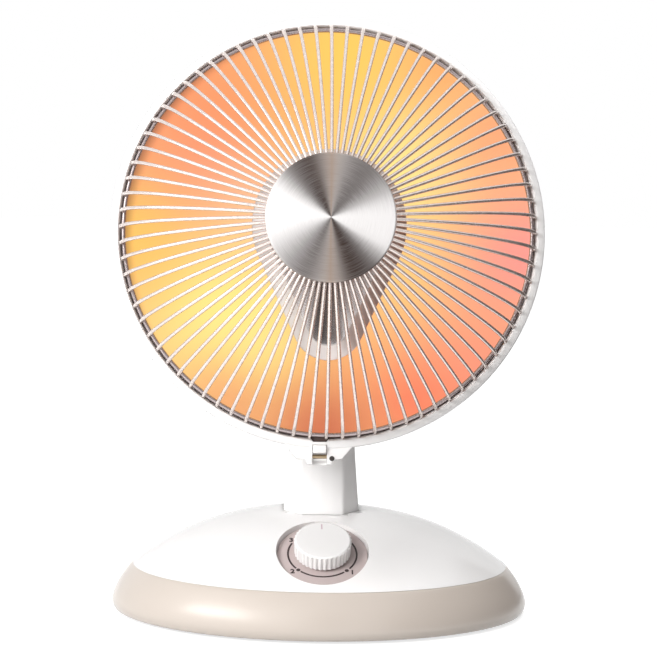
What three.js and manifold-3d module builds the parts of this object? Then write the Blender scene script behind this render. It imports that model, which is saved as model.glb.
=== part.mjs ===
// Carbon heater: a round reflector head behind a wire guard, on a tilting joint, a tapered neck
// and a wide oval base with a dial. Millimetres, +Z up, the front faces -Y.
// The base stands on its feet at Z = 0, with the origin under the middle of the whole heater.

import * as THREE from 'three';
import { mergeVertices } from 'three/addons/utils/BufferGeometryUtils.js';
import Module from 'manifold-3d';

const wasm = await Module();
wasm.setup();

// Clearances that every piece shares

const fit = 0.3;
const overrun = 2;

// Driving sizes of the base

const base = {
  halfWidth: 140,
  halfDepth: 101,
  wall: 2.2,
  skirtBottom: 2,
  bulgeHeight: 7,
  seamHeight: 31,
  seamInsetX: 13.3,
  seamInsetY: 10,
  hemInset: 1.5,
  flangeWidth: 6,
  flangeThickness: 2,
  plateThickness: 2.5,
  plateLift: 0.5,
  domeRise: 39,
  footInset: 16,
  bossInset: 18.5,
  bossRadius: 4.5,
  socketDepth: 12,
};
const footAngle = THREE.MathUtils.degToRad(37.8);
const bossAngle = THREE.MathUtils.degToRad(48.8);
const skirtCurve = 1.6;
const domeCurve = 2.5;
const domeShares = [1, 0.96, 0.88, 0.76, 0.6, 0.4, 0.2, 0];
const domeInnerShares = [1, 0.93, 0.75, 0.45, 0];
const skirtShares = [0, 0.35, 0.68, 1];
const skirtInnerShares = [1, 0.5];
const baseSegments = 36;

const foot = { radius: 8, edge: 1, stemRadius: 2.5, headRadius: 3.6, headHeight: 1.8 };
const plateScrew = { radius: 1.8, headRadius: 3.4, headHeight: 1.6, length: 16 };
const ballast = { insetX: 68, insetY: 55, thickness: 6 };

// Driving sizes of the dial, on a plane that slopes down to the front

const dial = {
  frontInset: 40,
  z: 50,
  wellRadius: 29.5,
  wellWall: 1.8,
  plateThickness: 2.2,
  ledgeWidth: 2.5,
  ledgeThickness: 1.5,
};
const dialSlope = THREE.MathUtils.degToRad(28.5);
const knob = {
  radius: 18.6,
  footRadius: 18,
  height: 10.5,
  clearance: 1.5,
  ribDepth: 0.7,
  topEdge: 0.8,
  roof: 2.5,
};
const knobRibs = 36;
const dialSides = 24;
const selector = { width: 32, depth: 30, height: 17, shaftRadius: 3, shaftDepth: 11 };

// Driving sizes of the neck, its post and the tilting joint

const neck = {
  behindDial: 61,
  bottomHalfWidth: 26.4,
  topHalfWidth: 19.5,
  bottomHalfDepth: 22.6,
  topHalfDepth: 17.5,
  creaseX: 14.4,
  topZ: 178,
  wall: 2,
  splitGap: 0.3,
};
const neckFlare = 1.7;
const neckSideShare = 0.45;
const neckHeightShares = [0, 0.12, 0.28, 0.5, 0.75, 1];
const socketHeightShares = [0, 0.12, 0.28];
const neckScrew = {
  x: 13.6,
  radius: 1.4,
  length: 15.4,
  headRadius: 2.8,
  headHeight: 1.8,
  bossRadius: 3.2,
  seat: 5.6,
  boreDepth: 11.5,
};
const neckScrewShares = [0.3, 0.8];
const post = {
  radius: 8.5,
  wall: 1.5,
  flangeRadius: 24,
  flangeThickness: 4,
  boltX: 17,
  boltRadius: 2.5,
  boltHeadRadius: 4.5,
  boltHeadHeight: 3,
};
const pivot = {
  z: 188,
  boltRadius: 3,
  earRadius: 10,
  earThickness: 5.5,
  earInset: 8.5,
  plateThickness: 6,
  spigotLength: 15,
  headRadius: 5.5,
  headHeight: 4,
  washerRadius: 8,
  washerThickness: 1.2,
  lugRadius: 9,
};

// Driving sizes of the cord gland and of the tip-over switch

const gland = {
  z: 19,
  boreRadius: 3.2,
  bodyRadius: 5.4,
  flangeRadius: 7.6,
  seatInset: 2.5,
  nutRadius: 8,
  nutThickness: 3,
  padRadius: 10,
  padThickness: 8.5,
};
const tip = {
  behindBallast: 16,
  radius: 3,
  point: 1.2,
  top: 16,
  collarRadius: 4.6,
  collarThickness: 1.4,
  travel: 5,
  switchWidth: 30,
  switchDepth: 12,
  switchHeight: 12,
  legWidth: 4,
};

// Driving sizes of the head, in its own frame: +Z forward, +Y up, origin in the hoop's middle

const headTilt = THREE.MathUtils.degToRad(10);
const head = {
  pivotReach: 24,
  pivotBelow: 57,
  housingRadius: 137,
  housingDepth: 60,
  rimDepth: 8,
  rimFront: 1,
  rimEdge: 0.8,
  rimWidth: 5.5,
  flatMargin: 3,
  wall: 1.6,
  dishInset: 1.3,
  dishGap: 4.3,
  dishSheet: 0.8,
};
const housingCurve = 1 / 2.2;
const housingShares = [0, 0.3, 0.55, 0.75, 0.9, 0.98, 1];
const housingInnerShares = [0, 0.5, 0.82, 0.97, 1];
const dishShares = [0, 0.24, 0.48, 0.74, 1];
const headSegments = 40;
const vent = { outerInset: 44, length: 20, width: 4.5 };
const ventPairs = 10;
const ventTurnShare = 0.25;

// Driving sizes of the wire guard and of the disc in its middle

const guard = {
  hoopWireRadius: 1.6,
  hoopGap: 1.6,
  wireRadius: 1.1,
  innerRingRadius: 35,
  innerRingWidth: 3.4,
  innerRingHeight: 2.4,
  rise: 51.3,
  tongueWidth: 8,
  tongueThickness: 1,
  tongueReach: 3,
};
const wireCount = 80;
const wireSteps = 6;
const wireSides = 3;
const wireCurve = 1.2;
const wireShoulder = 0.5;
const hoopSides = 6;
const hoopTurn = THREE.MathUtils.degToRad(46);
const badge = {
  radius: 39.6,
  thickness: 2.4,
  bevel: 0.9,
  bossRadius: 6,
  backplateRadius: 36,
  backplateThickness: 1.2,
  screwRadius: 1.8,
  screwHeadRadius: 4,
  screwHeadHeight: 2,
};

// Driving sizes of the guard latch under the rim

const latch = {
  bossTopWidth: 42,
  bossBottomWidth: 25,
  bossReach: 10,
  bossSink: 3,
  sideways: 3.8,
  bossDepth: 14,
  bossInset: 1.5,
  slotWidth: 9.2,
  slotDepth: 7.5,
  leverWidth: 8.4,
  leverThickness: 1.8,
  leverRise: 2,
  pinBelowRim: 5,
  pinBehind: 3.4,
  pinRadius: 1.1,
  barrelRadius: 2.5,
  pinOverhang: 1.8,
  notchTopWidth: 15.6,
  notchBottomWidth: 8.8,
  screwX: 8.2,
  screwRadius: 1.3,
  screwHeadRadius: 2.1,
  screwHeadHeight: 1.2,
  screwLength: 9,
};

// Driving sizes of the lamp and of the shield in front of it

const lamp = {
  ringRadius: 33,
  tubeRadius: 5,
  tubeWall: 1.2,
  forward: 10,
  legX: 8,
  legEnd: 66,
  capRadius: 6.8,
  capTop: 60,
  capEnd: 71.8,
  ribbonHalfWidth: 3,
  ribbonThickness: 0.6,
  bracketHalfWidth: 17,
  bracketHalfDepth: 9,
  bracketTop: 64,
  bracketBottom: 70.8,
  stemHalfWidth: 6,
};
const lampSteps = 20;
const lampSides = 7;
const shield = {
  bigRadius: 48,
  smallRadius: 22,
  centreUp: 0.3,
  smallDown: 61.5,
  front: 27,
  skirt: 8,
  sheet: 1,
  slopeWidth: 9,
  slopeDepth: 6,
  postRadius: 2.5,
};
const shieldPostAngles = [30, 150].map(THREE.MathUtils.degToRad);
const shieldArcSteps = 12;

// Driving sizes of the rear cap, of the arm and of what the cap covers

const cap = {
  radius: 40,
  depth: 36,
  wall: 1.8,
  edge: 4,
  slotMargin: 1,
  screwCircle: 33,
  screwRadius: 1.5,
  screwHeadRadius: 3,
  screwHeadHeight: 2,
  bossRadius: 4.6,
};
const capScrewAngles = [90, 210, 330].map(THREE.MathUtils.degToRad);
const arm = {
  plateWidth: 30,
  plateThickness: 3,
  plateTop: 12,
  plateBottom: -32,
  lugTop: -12,
  screwHigh: 5,
  screwLow: -5,
  screwX: 10,
  screwRadius: 2,
  screwHeadRadius: 3.6,
  screwHeadHeight: 2.4,
};
const terminal = { width: 34, height: 12, depth: 14, up: 21 };
const cutout = { radius: 8, depth: 6, x: 23, up: -4 };
const tipLength = 1.8;

// Sides of the small round pieces

const boltSides = 16;
const postSides = 12;
const screwSides = 8;
const hexSides = 6;

// Colours and finishes

const finish = (color, roughness, metalness) =>
  new THREE.MeshStandardMaterial({ color, roughness, metalness, flatShading: true });
const glossWhite = finish(0xf3f1ee, 0.25, 0);
const warmGrey = finish(0xd6ccc4, 0.3, 0);
const dialMauve = finish(0xc2b4b4, 0.45, 0);
const rubberBlack = finish(0x1d1d1f, 0.85, 0);
const blackPlastic = finish(0x2a2a2c, 0.6, 0);
const zincSteel = finish(0xb8babd, 0.4, 1);
const darkSteel = finish(0x5b5754, 0.5, 1);
const chrome = finish(0xdadada, 0.12, 1);
const brushedDisc = finish(0xcfc9c2, 0.35, 1);
const glowingDish = finish(0xffa46a, 0.25, 0.4);
const quartz = finish(0xf2ece4, 0.1, 0);
const carbonGlow = finish(0xff7a2a, 0.6, 0);
const ceramic = finish(0xe9e2d4, 0.7, 0);

// Solid and surface helpers

function toSolid(geometry) {
  const bare = geometry.clone();
  bare.deleteAttribute('normal');
  bare.deleteAttribute('uv');
  const welded = mergeVertices(bare);
  const corners = welded.index.array;
  const kept = [];
  for (let i = 0; i < corners.length; i += 3) {
    const [a, b, c] = [corners[i], corners[i + 1], corners[i + 2]];
    if (a !== b && b !== c && c !== a) kept.push(a, b, c);
  }
  const vertProperties = new Float32Array(welded.attributes.position.array);
  const solid = new wasm.Manifold(
    new wasm.Mesh({ numProp: 3, vertProperties, triVerts: new Uint32Array(kept) }));
  if (solid.volume() >= 0) return solid;
  const turned = [];
  for (let i = 0; i < kept.length; i += 3) turned.push(kept[i], kept[i + 2], kept[i + 1]);
  return new wasm.Manifold(
    new wasm.Mesh({ numProp: 3, vertProperties, triVerts: new Uint32Array(turned) }));
}

function toGeometry(solid) {
  const mesh = solid.getMesh();
  const geometry = new THREE.BufferGeometry();
  geometry.setAttribute('position', new THREE.BufferAttribute(mesh.vertProperties, 3));
  geometry.setIndex(new THREE.BufferAttribute(mesh.triVerts, 1));
  return geometry;
}

function join(...geometries) {
  return toGeometry(geometries.map(toSolid).reduce((whole, piece) => whole.add(piece)));
}

function cut(geometry, ...cutters) {
  return toGeometry(cutters.map(toSolid).reduce((rest, tool) => rest.subtract(tool),
    toSolid(geometry)));
}

function common(first, second) {
  return toGeometry(toSolid(first).intersect(toSolid(second)));
}

// A profile of [radius, height] pairs turned about Z
function turned(profile, segments) {
  const points = profile.map(([radius, height]) => new THREE.Vector2(radius, height));
  return new THREE.LatheGeometry(points, segments).rotateX(Math.PI / 2);
}

// A round bar along Z, from one height to another
function bar(radius, from, to, sides = boltSides) {
  const geometry = new THREE.CylinderGeometry(radius, radius, to - from, sides);
  return geometry.rotateX(Math.PI / 2).translate(0, 0, (from + to) / 2);
}

// A box between two corners
function block([x0, y0, z0], [x1, y1, z1]) {
  const geometry = new THREE.BoxGeometry(x1 - x0, y1 - y0, z1 - z0);
  return geometry.translate((x0 + x1) / 2, (y0 + y1) / 2, (z0 + z1) / 2);
}

// A flat outline of [x, y] pairs raised along Z, from one height to another
function raised(outline, from, to) {
  const shape = new THREE.Shape(outline.map(([x, y]) => new THREE.Vector2(x, y)));
  const options = { depth: to - from, bevelEnabled: false };
  return new THREE.ExtrudeGeometry(shape, options).translate(0, 0, from);
}

// A skin over rings of points; the ends are closed with the outline's own triangles,
// or the last ring runs back into the first
function lofted(rings, outline) {
  const around = rings[0].length;
  const positions = rings.flat().flatMap((point) => point.toArray());
  const faces = [];
  const spans = outline ? rings.length - 1 : rings.length;
  for (let i = 0; i < spans; i++) {
    const low = i * around;
    const high = ((i + 1) % rings.length) * around;
    for (let j = 0; j < around; j++) {
      const k = (j + 1) % around;
      faces.push(low + j, low + k, high + k);
      faces.push(low + j, high + k, high + j);
    }
  }
  if (outline) {
    const last = (rings.length - 1) * around;
    for (const [a, b, c] of THREE.ShapeUtils.triangulateShape(outline, [])) {
      faces.push(a, c, b);
      faces.push(last + a, last + b, last + c);
    }
  }
  const geometry = new THREE.BufferGeometry();
  geometry.setAttribute('position', new THREE.Float32BufferAttribute(positions, 3));
  return geometry.setIndex(faces);
}

// A ring of points on an oval at one height
function oval(halfWidth, halfDepth, height) {
  const ring = [];
  for (let i = 0; i < baseSegments; i++) {
    const angle = (2 * Math.PI * i) / baseSegments;
    ring.push(new THREE.Vector3(halfWidth * Math.cos(angle), halfDepth * Math.sin(angle), height));
  }
  return ring;
}

function ovalOutline(halfWidth, halfDepth) {
  return oval(halfWidth, halfDepth, 0).map((point) => [point.x, point.y]);
}

function roundOutline(radius, sides, turn = 0) {
  const outline = [];
  for (let i = 0; i < sides; i++) {
    const angle = turn + (2 * Math.PI * i) / sides;
    outline.push([radius * Math.cos(angle), radius * Math.sin(angle)]);
  }
  return outline;
}

// A screw or bolt along -Z, with the underside of its head at Z = 0
function screw(radius, length, headRadius, headHeight, headSides = screwSides) {
  const profile = [
    [0, -length],
    [radius, -length],
    [radius, 0],
    [headRadius, 0],
    [headRadius, headHeight],
    [0, headHeight],
  ];
  return turned(profile, headSides);
}

// The groups that carry the pieces; the neck stands behind the dial

const dialY = dial.frontInset - base.halfDepth;
const neckY = dialY + neck.behindDial;

const heater = new THREE.Group();
const neckGroup = new THREE.Group();
neckGroup.position.set(0, neckY, 0);
const headPivot = new THREE.Group();
headPivot.position.set(0, 0, pivot.z);
headPivot.rotation.x = Math.PI / 2 - headTilt;
const pivotBehind = head.housingDepth + head.pivotReach;
const headGroup = new THREE.Group();
headGroup.position.set(0, head.pivotBelow, pivotBehind);
headPivot.add(headGroup);
const dialGroup = new THREE.Group();
dialGroup.position.set(0, dialY, dial.z);
dialGroup.rotation.x = dialSlope;
neckGroup.add(headPivot);
heater.add(neckGroup, dialGroup);

function piece(parent, name, geometry, material) {
  const mesh = new THREE.Mesh(toGeometry(toSolid(geometry)), material);
  mesh.name = name;
  parent.add(mesh);
  return mesh;
}

// A geometry made about the neck's axis, carried back to where the neck stands
function atNeck(geometry) {
  return geometry.translate(0, neckY, 0);
}

// A geometry of the dial's frame, carried into the heater's frame
function fromDial(geometry) {
  dialGroup.updateMatrix();
  return geometry.applyMatrix4(dialGroup.matrix);
}

// Heights and places that the base's pieces share

const plateBottom = base.skirtBottom + base.plateLift;
const plateTop = plateBottom + base.plateThickness;
const flangeBottom = plateTop + fit;
const ballastBottom = plateTop + fit;
const ballastTop = ballastBottom + ballast.thickness;
const coverBottom = base.seamHeight + fit;
const corners = [[1, 1], [-1, 1], [-1, -1], [1, -1]];

// Four places on an oval inside the base's outline, at the same angle in each quarter
function aroundBase(inset, angle) {
  const x = (base.halfWidth - inset) * Math.cos(angle);
  const y = (base.halfDepth - inset) * Math.sin(angle);
  return corners.map(([sideX, sideY]) => [x * sideX, y * sideY]);
}

const footPlaces = aroundBase(base.footInset, footAngle);
const bossPlaces = aroundBase(base.bossInset, bossAngle);
const ballastHalfDepth = base.halfDepth - ballast.insetY;
const tipY = neckY + ballastHalfDepth + tip.behindBallast;

// Base skirt: the lower ring, widest just above the floor and drawn in to the seam

function skirtRing(share, inwards) {
  const inset = share ** skirtCurve;
  const height = base.bulgeHeight + (base.seamHeight - base.bulgeHeight) * share;
  return oval(base.halfWidth - base.seamInsetX * inset - inwards,
    base.halfDepth - base.seamInsetY * inset - inwards, height);
}

function hemRing(inwards, height) {
  const inset = base.hemInset + inwards;
  return oval(base.halfWidth - inset, base.halfDepth - inset, height);
}

const glandY = base.halfDepth - gland.seatInset;

// A geometry along Z turned to run out of the back of the base at the gland
function atGland(geometry) {
  return geometry.rotateX(-Math.PI / 2).translate(0, glandY, gland.z);
}

function baseSkirt() {
  const flangeInner = base.wall + base.flangeWidth;
  const rings = [
    hemRing(0, base.skirtBottom),
    ...skirtShares.map((share) => skirtRing(share, 0)),
    ...skirtInnerShares.map((share) => skirtRing(share, base.wall)),
    hemRing(base.wall, flangeBottom + base.flangeThickness),
    hemRing(flangeInner, flangeBottom + base.flangeThickness),
    hemRing(flangeInner, flangeBottom),
    hemRing(base.wall, flangeBottom),
    hemRing(base.wall, base.skirtBottom),
  ];
  const pad = atGland(bar(gland.padRadius, -gland.padThickness, 0));
  return cut(join(lofted(rings), pad),
    atGland(bar(gland.flangeRadius + fit, 0, gland.seatInset * 2)),
    atGland(bar(gland.bodyRadius + fit, -gland.padThickness * 2, overrun)));
}
piece(heater, 'base_skirt', baseSkirt(), warmGrey);

// Neck outline at one height, grown outwards by a margin: a flat front and back between two
// creases, slanted cheeks and straight sides

const socketFloor = base.seamHeight + base.domeRise - base.socketDepth;

function neckShape(share, margin) {
  const flare = (1 - share) ** neckFlare;
  const halfWidth = neck.topHalfWidth + (neck.bottomHalfWidth - neck.topHalfWidth) * flare + margin;
  const halfDepth = neck.topHalfDepth + (neck.bottomHalfDepth - neck.topHalfDepth) * flare + margin;
  const crease = neck.creaseX + margin / 2;
  return { halfWidth, halfDepth, crease, cheek: halfDepth * neckSideShare };
}

function neckOutline(share, margin) {
  const { halfWidth, halfDepth, crease, cheek } = neckShape(share, margin);
  return [
    [halfWidth, -cheek],
    [halfWidth, cheek],
    [crease, halfDepth],
    [-crease, halfDepth],
    [-halfWidth, cheek],
    [-halfWidth, -cheek],
    [-crease, -halfDepth],
    [crease, -halfDepth],
  ];
}

const neckBottom = socketFloor + fit;
const neckHeight = (share) => neckBottom + (neck.topZ - neckBottom) * share;

function neckBlock(margin, shares, extend = 0) {
  const outline = neckOutline(shares[0], margin).map(([x, y]) => new THREE.Vector2(x, y));
  const rings = shares.map((share, i) => {
    const lift = i === 0 ? -extend : 0;
    return neckOutline(share, margin).map(
      ([x, y]) => new THREE.Vector3(x, y, neckHeight(share) + lift));
  });
  return lofted(rings, outline);
}

// Base cover: the domed shell, with the dial well, the neck socket and four screw bosses

function domeRings(shares, inwards) {
  const halfWidth = base.halfWidth - base.seamInsetX - inwards;
  const halfDepth = base.halfDepth - base.seamInsetY - inwards;
  const rise = base.domeRise - fit - inwards;
  return shares.map((share) =>
    oval(halfWidth * share, halfDepth * share, coverBottom + rise * (1 - share ** domeCurve)));
}

const wellFloor = -fit - dial.plateThickness - fit;

function baseCover() {
  const outer = domeRings(domeShares, 0);
  const inner = domeRings(domeInnerShares, base.wall);
  inner.unshift(oval(base.halfWidth - base.seamInsetX - base.wall,
    base.halfDepth - base.seamInsetY - base.wall, coverBottom - overrun));
  const rim = ovalOutline(base.halfWidth, base.halfDepth).map(([x, y]) => new THREE.Vector2(x, y));
  const filled = lofted(outer, rim);
  const wellCup = fromDial(bar(dial.wellRadius + dial.wellWall, wellFloor - dial.ledgeThickness,
    knob.height, dialSides));
  const wellBore = fromDial(bar(dial.wellRadius, wellFloor, base.domeRise, dialSides));
  const wellHole = fromDial(bar(dial.wellRadius - dial.ledgeWidth,
    wellFloor - dial.ledgeThickness - overrun, wellFloor + overrun, dialSides));
  const socket = atNeck(neckBlock(fit + base.wall, socketHeightShares, fit + base.wall));
  const socketBore = atNeck(neckBlock(fit, neckHeightShares, fit));
  const postHole = atNeck(bar(post.radius + fit, ballastTop, neck.topZ));
  const bosses = bossPlaces.map(([x, y]) =>
    bar(base.bossRadius, flangeBottom, base.seamHeight + base.domeRise, screwSides)
      .translate(x, y, 0));
  const bossHoles = bossPlaces.map(([x, y]) =>
    bar(plateScrew.radius + fit, plateTop, plateTop + plateScrew.length, screwSides)
      .translate(x, y, 0));
  const hollow = cut(lofted(inner, rim), wellCup, socket, ...bosses);
  const bossFeet = bossPlaces.map(([x, y]) =>
    bar(base.bossRadius, flangeBottom, base.seamHeight + base.wall, screwSides)
      .translate(x, y, 0));
  return cut(join(filled, ...bossFeet), hollow, wellBore, wellHole, socketBore, postHole,
    ...bossHoles);
}
piece(heater, 'base_cover', baseCover(), glossWhite);

// Bottom plate, with holes for the feet, screws, bolts and the tip-over plunger

function bottomPlate() {
  const inset = base.hemInset + base.wall + fit;
  const plate = raised(ovalOutline(base.halfWidth - inset, base.halfDepth - inset),
    plateBottom, plateTop);
  const hole = (radius, x, y) =>
    bar(radius + fit, plateBottom - overrun, plateTop + overrun, screwSides).translate(x, y, 0);
  return cut(plate,
    ...footPlaces.map(([x, y]) => hole(foot.stemRadius, x, y)),
    ...bossPlaces.map(([x, y]) => hole(plateScrew.radius, x, y)),
    hole(tip.radius, 0, tipY),
    hole(post.boltRadius, post.boltX, neckY),
    hole(post.boltRadius, -post.boltX, neckY));
}
piece(heater, 'bottom_plate', bottomPlate(), blackPlastic);

function ballastPlate() {
  const plate = raised(ovalOutline(base.halfWidth - ballast.insetX, ballastHalfDepth),
    ballastBottom, ballastTop);
  const boltHole = (x) =>
    bar(post.boltRadius + fit, plateBottom, ballastTop + overrun, screwSides).translate(x, 0, 0);
  return cut(plate, boltHole(post.boltX), boltHole(-post.boltX));
}
piece(neckGroup, 'ballast_plate', ballastPlate(), darkSteel);

// Rubber feet: a pad below the plate, a stem through it and a head above it

function rubberFoot() {
  const padTop = plateBottom - fit;
  const profile = [
    [0, 0],
    [foot.radius - foot.edge, 0],
    [foot.radius, foot.edge],
    [foot.radius, padTop],
    [foot.stemRadius, padTop],
    [foot.stemRadius, plateTop + fit],
    [foot.headRadius, plateTop + fit],
    [foot.stemRadius, plateTop + fit + foot.headHeight],
    [0, plateTop + fit + foot.headHeight],
  ];
  return turned(profile, postSides);
}
footPlaces.forEach(([x, y], i) => {
  const pad = piece(heater, `foot_${i + 1}`, rubberFoot(), rubberBlack);
  pad.position.set(x, y, 0);
});
bossPlaces.forEach(([x, y], i) => {
  const length = plateScrew.length - plateScrew.headHeight;
  const fixing = piece(heater, `plate_screw_${i + 1}`,
    screw(plateScrew.radius, length, plateScrew.headRadius, plateScrew.headHeight), zincSteel);
  fixing.rotation.x = Math.PI;
  fixing.position.set(x, y, plateBottom - fit);
});

// Dial plate, selector switch, shaft and knob, in the dial's frame

const dialFaceTop = -fit;
const dialFaceBottom = dialFaceTop - dial.plateThickness;

function dialPlate() {
  return cut(bar(dial.wellRadius - fit, dialFaceBottom, dialFaceTop, dialSides),
    bar(selector.shaftRadius + fit, dialFaceBottom - overrun, overrun));
}
piece(dialGroup, 'dial_plate', dialPlate(), dialMauve);

function selectorSwitch() {
  const top = dialFaceBottom - fit;
  const body = block([-selector.width / 2, -selector.depth / 2, top - selector.height],
    [selector.width / 2, selector.depth / 2, top]);
  return cut(body, bar(selector.shaftRadius + fit, top - selector.shaftDepth - fit, top + overrun));
}
piece(dialGroup, 'selector_switch', selectorSwitch(), blackPlastic);

const knobBottom = dialFaceTop + knob.clearance;
const knobTop = knobBottom + knob.height;
const knobBoreTop = knobTop - knob.roof;
piece(dialGroup, 'switch_shaft', bar(selector.shaftRadius,
  dialFaceBottom - fit - selector.shaftDepth, knobBoreTop - fit), zincSteel);

function ribbedRing(radius, height) {
  const ring = [];
  for (let i = 0; i < knobRibs * 2; i++) {
    const reach = i % 2 === 0 ? radius : radius - knob.ribDepth;
    const angle = (Math.PI * i) / knobRibs;
    ring.push(new THREE.Vector3(reach * Math.cos(angle), reach * Math.sin(angle), height));
  }
  return ring;
}

function dialKnob() {
  const rings = [
    ribbedRing(knob.footRadius, knobBottom),
    ribbedRing(knob.radius, knobTop - knob.topEdge),
    ribbedRing(knob.radius - knob.topEdge, knobTop),
  ];
  const outline = rings[0].map((point) => new THREE.Vector2(point.x, point.y));
  return cut(lofted(rings, outline),
    bar(selector.shaftRadius + fit, knobBottom - overrun, knobBoreTop));
}
piece(dialGroup, 'dial_knob', dialKnob(), glossWhite);

// Neck post: a tube on a round flange, bolted through the ballast plate

const postBottom = ballastTop + fit;
const postTop = neck.topZ - pivot.plateThickness - fit;

function neckPost() {
  const flangeTop = postBottom + post.flangeThickness;
  const bore = post.radius - post.wall;
  const profile = [
    [bore, postBottom],
    [post.flangeRadius, postBottom],
    [post.flangeRadius, flangeTop],
    [post.radius, flangeTop],
    [post.radius, postTop],
    [bore, postTop],
    [bore, postBottom],
  ];
  const boltHole = (x) => bar(post.boltRadius + fit, postBottom - overrun, flangeTop + overrun,
    screwSides).translate(x, 0, 0);
  return cut(turned(profile, boltSides), boltHole(post.boltX), boltHole(-post.boltX));
}
piece(neckGroup, 'neck_post', neckPost(), zincSteel);

[post.boltX, -post.boltX].forEach((x, i) => {
  const seat = postBottom + post.flangeThickness + fit;
  const bolt = piece(neckGroup, `post_bolt_${i + 1}`, screw(post.boltRadius, seat - plateBottom,
    post.boltHeadRadius, post.boltHeadHeight), zincSteel);
  bolt.position.set(x, 0, seat);
});

// Neck shells: the front and rear halves, screwed together on either side of the post

function neckHalf(side) {
  const reach = base.halfDepth * side;
  const solid = neckBlock(0, neckHeightShares);
  const hollow = neckBlock(-neck.wall, neckHeightShares, overrun);
  const hollowTop = raised(neckOutline(1, -neck.wall), neck.topZ - overrun, neck.topZ + overrun);
  const walls = cut(solid, hollow, hollowTop);
  const bosses = neckScrewShares.map((share, i) =>
    bar(neckScrew.bossRadius, 0, base.halfDepth, screwSides).rotateX(-Math.PI / 2 * side)
      .translate(neckScrew.x * (i === 0 ? 1 : -1), 0, neckHeight(share)));
  const half = block([-base.halfWidth, Math.min(0, reach), 0],
    [base.halfWidth, Math.max(0, reach), neck.topZ + overrun])
    .translate(0, neck.splitGap / 2 * side, 0);
  return common(join(walls, common(join(...bosses), solid)), half);
}

function atNeckScrew(geometry, i) {
  return geometry.rotateX(-Math.PI / 2)
    .translate(neckScrew.x * (i === 0 ? 1 : -1), 0, neckHeight(neckScrewShares[i]));
}

const neckFront = cut(neckHalf(-1), ...neckScrewShares.map((share, i) =>
  atNeckScrew(bar(neckScrew.radius + fit, -neckScrew.boreDepth, overrun, screwSides), i)));
piece(neckGroup, 'neck_front', neckFront, glossWhite);

const neckRear = cut(neckHalf(1), ...neckScrewShares.flatMap((share, i) => [
  atNeckScrew(bar(neckScrew.radius + fit, -overrun, base.halfDepth, screwSides), i),
  atNeckScrew(bar(neckScrew.headRadius + fit, neckScrew.seat, base.halfDepth, screwSides), i),
]));
piece(neckGroup, 'neck_rear', neckRear, glossWhite);

neckScrewShares.forEach((share, i) => {
  const geometry = screw(neckScrew.radius, neckScrew.length, neckScrew.headRadius,
    neckScrew.headHeight).translate(0, 0, neckScrew.seat + fit);
  piece(neckGroup, `neck_screw_${i + 1}`, atNeckScrew(geometry, i), zincSteel);
});

// Pivot yoke: a plate inside the neck's top, two ears and a spigot in the post

// A plate outline in the Y-Z plane raised along X between two places
function raisedAcross(outline, from, to) {
  const geometry = raised(outline, from, to);
  return geometry.rotateX(Math.PI / 2).rotateZ(Math.PI / 2);
}

function earOutline(radius, down) {
  const outline = [[-radius, down], [radius, down]];
  for (let i = 0; i <= boltSides / 2; i++) {
    const angle = (2 * Math.PI * i) / boltSides;
    outline.push([radius * Math.cos(angle), radius * Math.sin(angle)]);
  }
  return outline;
}

function pivotYoke() {
  const plateLow = neck.topZ - pivot.plateThickness;
  const plate = raised(neckOutline(1, -neck.wall - fit), plateLow, neck.topZ);
  const outline = earOutline(pivot.earRadius, plateLow - pivot.z);
  const ears = [1, -1].map((side) => {
    const near = pivot.earInset * side;
    const far = (pivot.earInset + pivot.earThickness) * side;
    return raisedAcross(outline, Math.min(near, far), Math.max(near, far))
      .translate(0, 0, pivot.z);
  });
  const spigot = bar(post.radius - post.wall - fit, plateLow - pivot.spigotLength, neck.topZ);
  const bore = bar(pivot.boltRadius + fit, -neck.topHalfWidth, neck.topHalfWidth)
    .rotateY(Math.PI / 2).translate(0, 0, pivot.z);
  return cut(join(plate, spigot, ...ears), bore);
}
piece(neckGroup, 'pivot_yoke', pivotYoke(), darkSteel);

// Tilt bolt, nut and the two friction washers between the ears and the arm

function acrossPivot(geometry) {
  return geometry.rotateY(Math.PI / 2).translate(0, 0, pivot.z);
}

const earOuter = pivot.earInset + pivot.earThickness;
piece(neckGroup, 'tilt_bolt', acrossPivot(screw(pivot.boltRadius,
  earOuter * 2 + fit * 2 + pivot.headHeight, pivot.headRadius, pivot.headHeight, boltSides)
  .translate(0, 0, earOuter + fit)), zincSteel);
piece(neckGroup, 'tilt_nut', acrossPivot(cut(
  bar(pivot.headRadius, -earOuter - fit - pivot.headHeight, -earOuter - fit, hexSides),
  bar(pivot.boltRadius + fit, -neck.bottomHalfWidth, 0))), zincSteel);
[1, -1].forEach((side, i) => {
  const middle = (pivot.earInset - fit - pivot.washerThickness / 2) * side;
  const low = middle - pivot.washerThickness / 2;
  const washer = cut(bar(pivot.washerRadius, low, low + pivot.washerThickness),
    bar(pivot.boltRadius + fit, -neck.topHalfWidth, neck.topHalfWidth));
  piece(neckGroup, `tilt_washer_${i + 1}`, acrossPivot(washer), blackPlastic);
});

// Cord gland: the flange outside, the bore through it and the nut inside the skirt

function cordGland() {
  const inside = -gland.padThickness - fit;
  const profile = [
    [gland.boreRadius, inside - gland.nutThickness],
    [gland.nutRadius, inside - gland.nutThickness],
    [gland.nutRadius, inside],
    [gland.bodyRadius, inside],
    [gland.bodyRadius, fit],
    [gland.flangeRadius, fit],
    [gland.flangeRadius, gland.seatInset],
    [gland.boreRadius, gland.seatInset],
    [gland.boreRadius, inside - gland.nutThickness],
  ];
  return atGland(turned(profile, boltSides));
}
piece(heater, 'cord_gland', cordGland(), blackPlastic);

// Tip-over plunger, pressed up by the floor, and the switch above it

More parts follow.
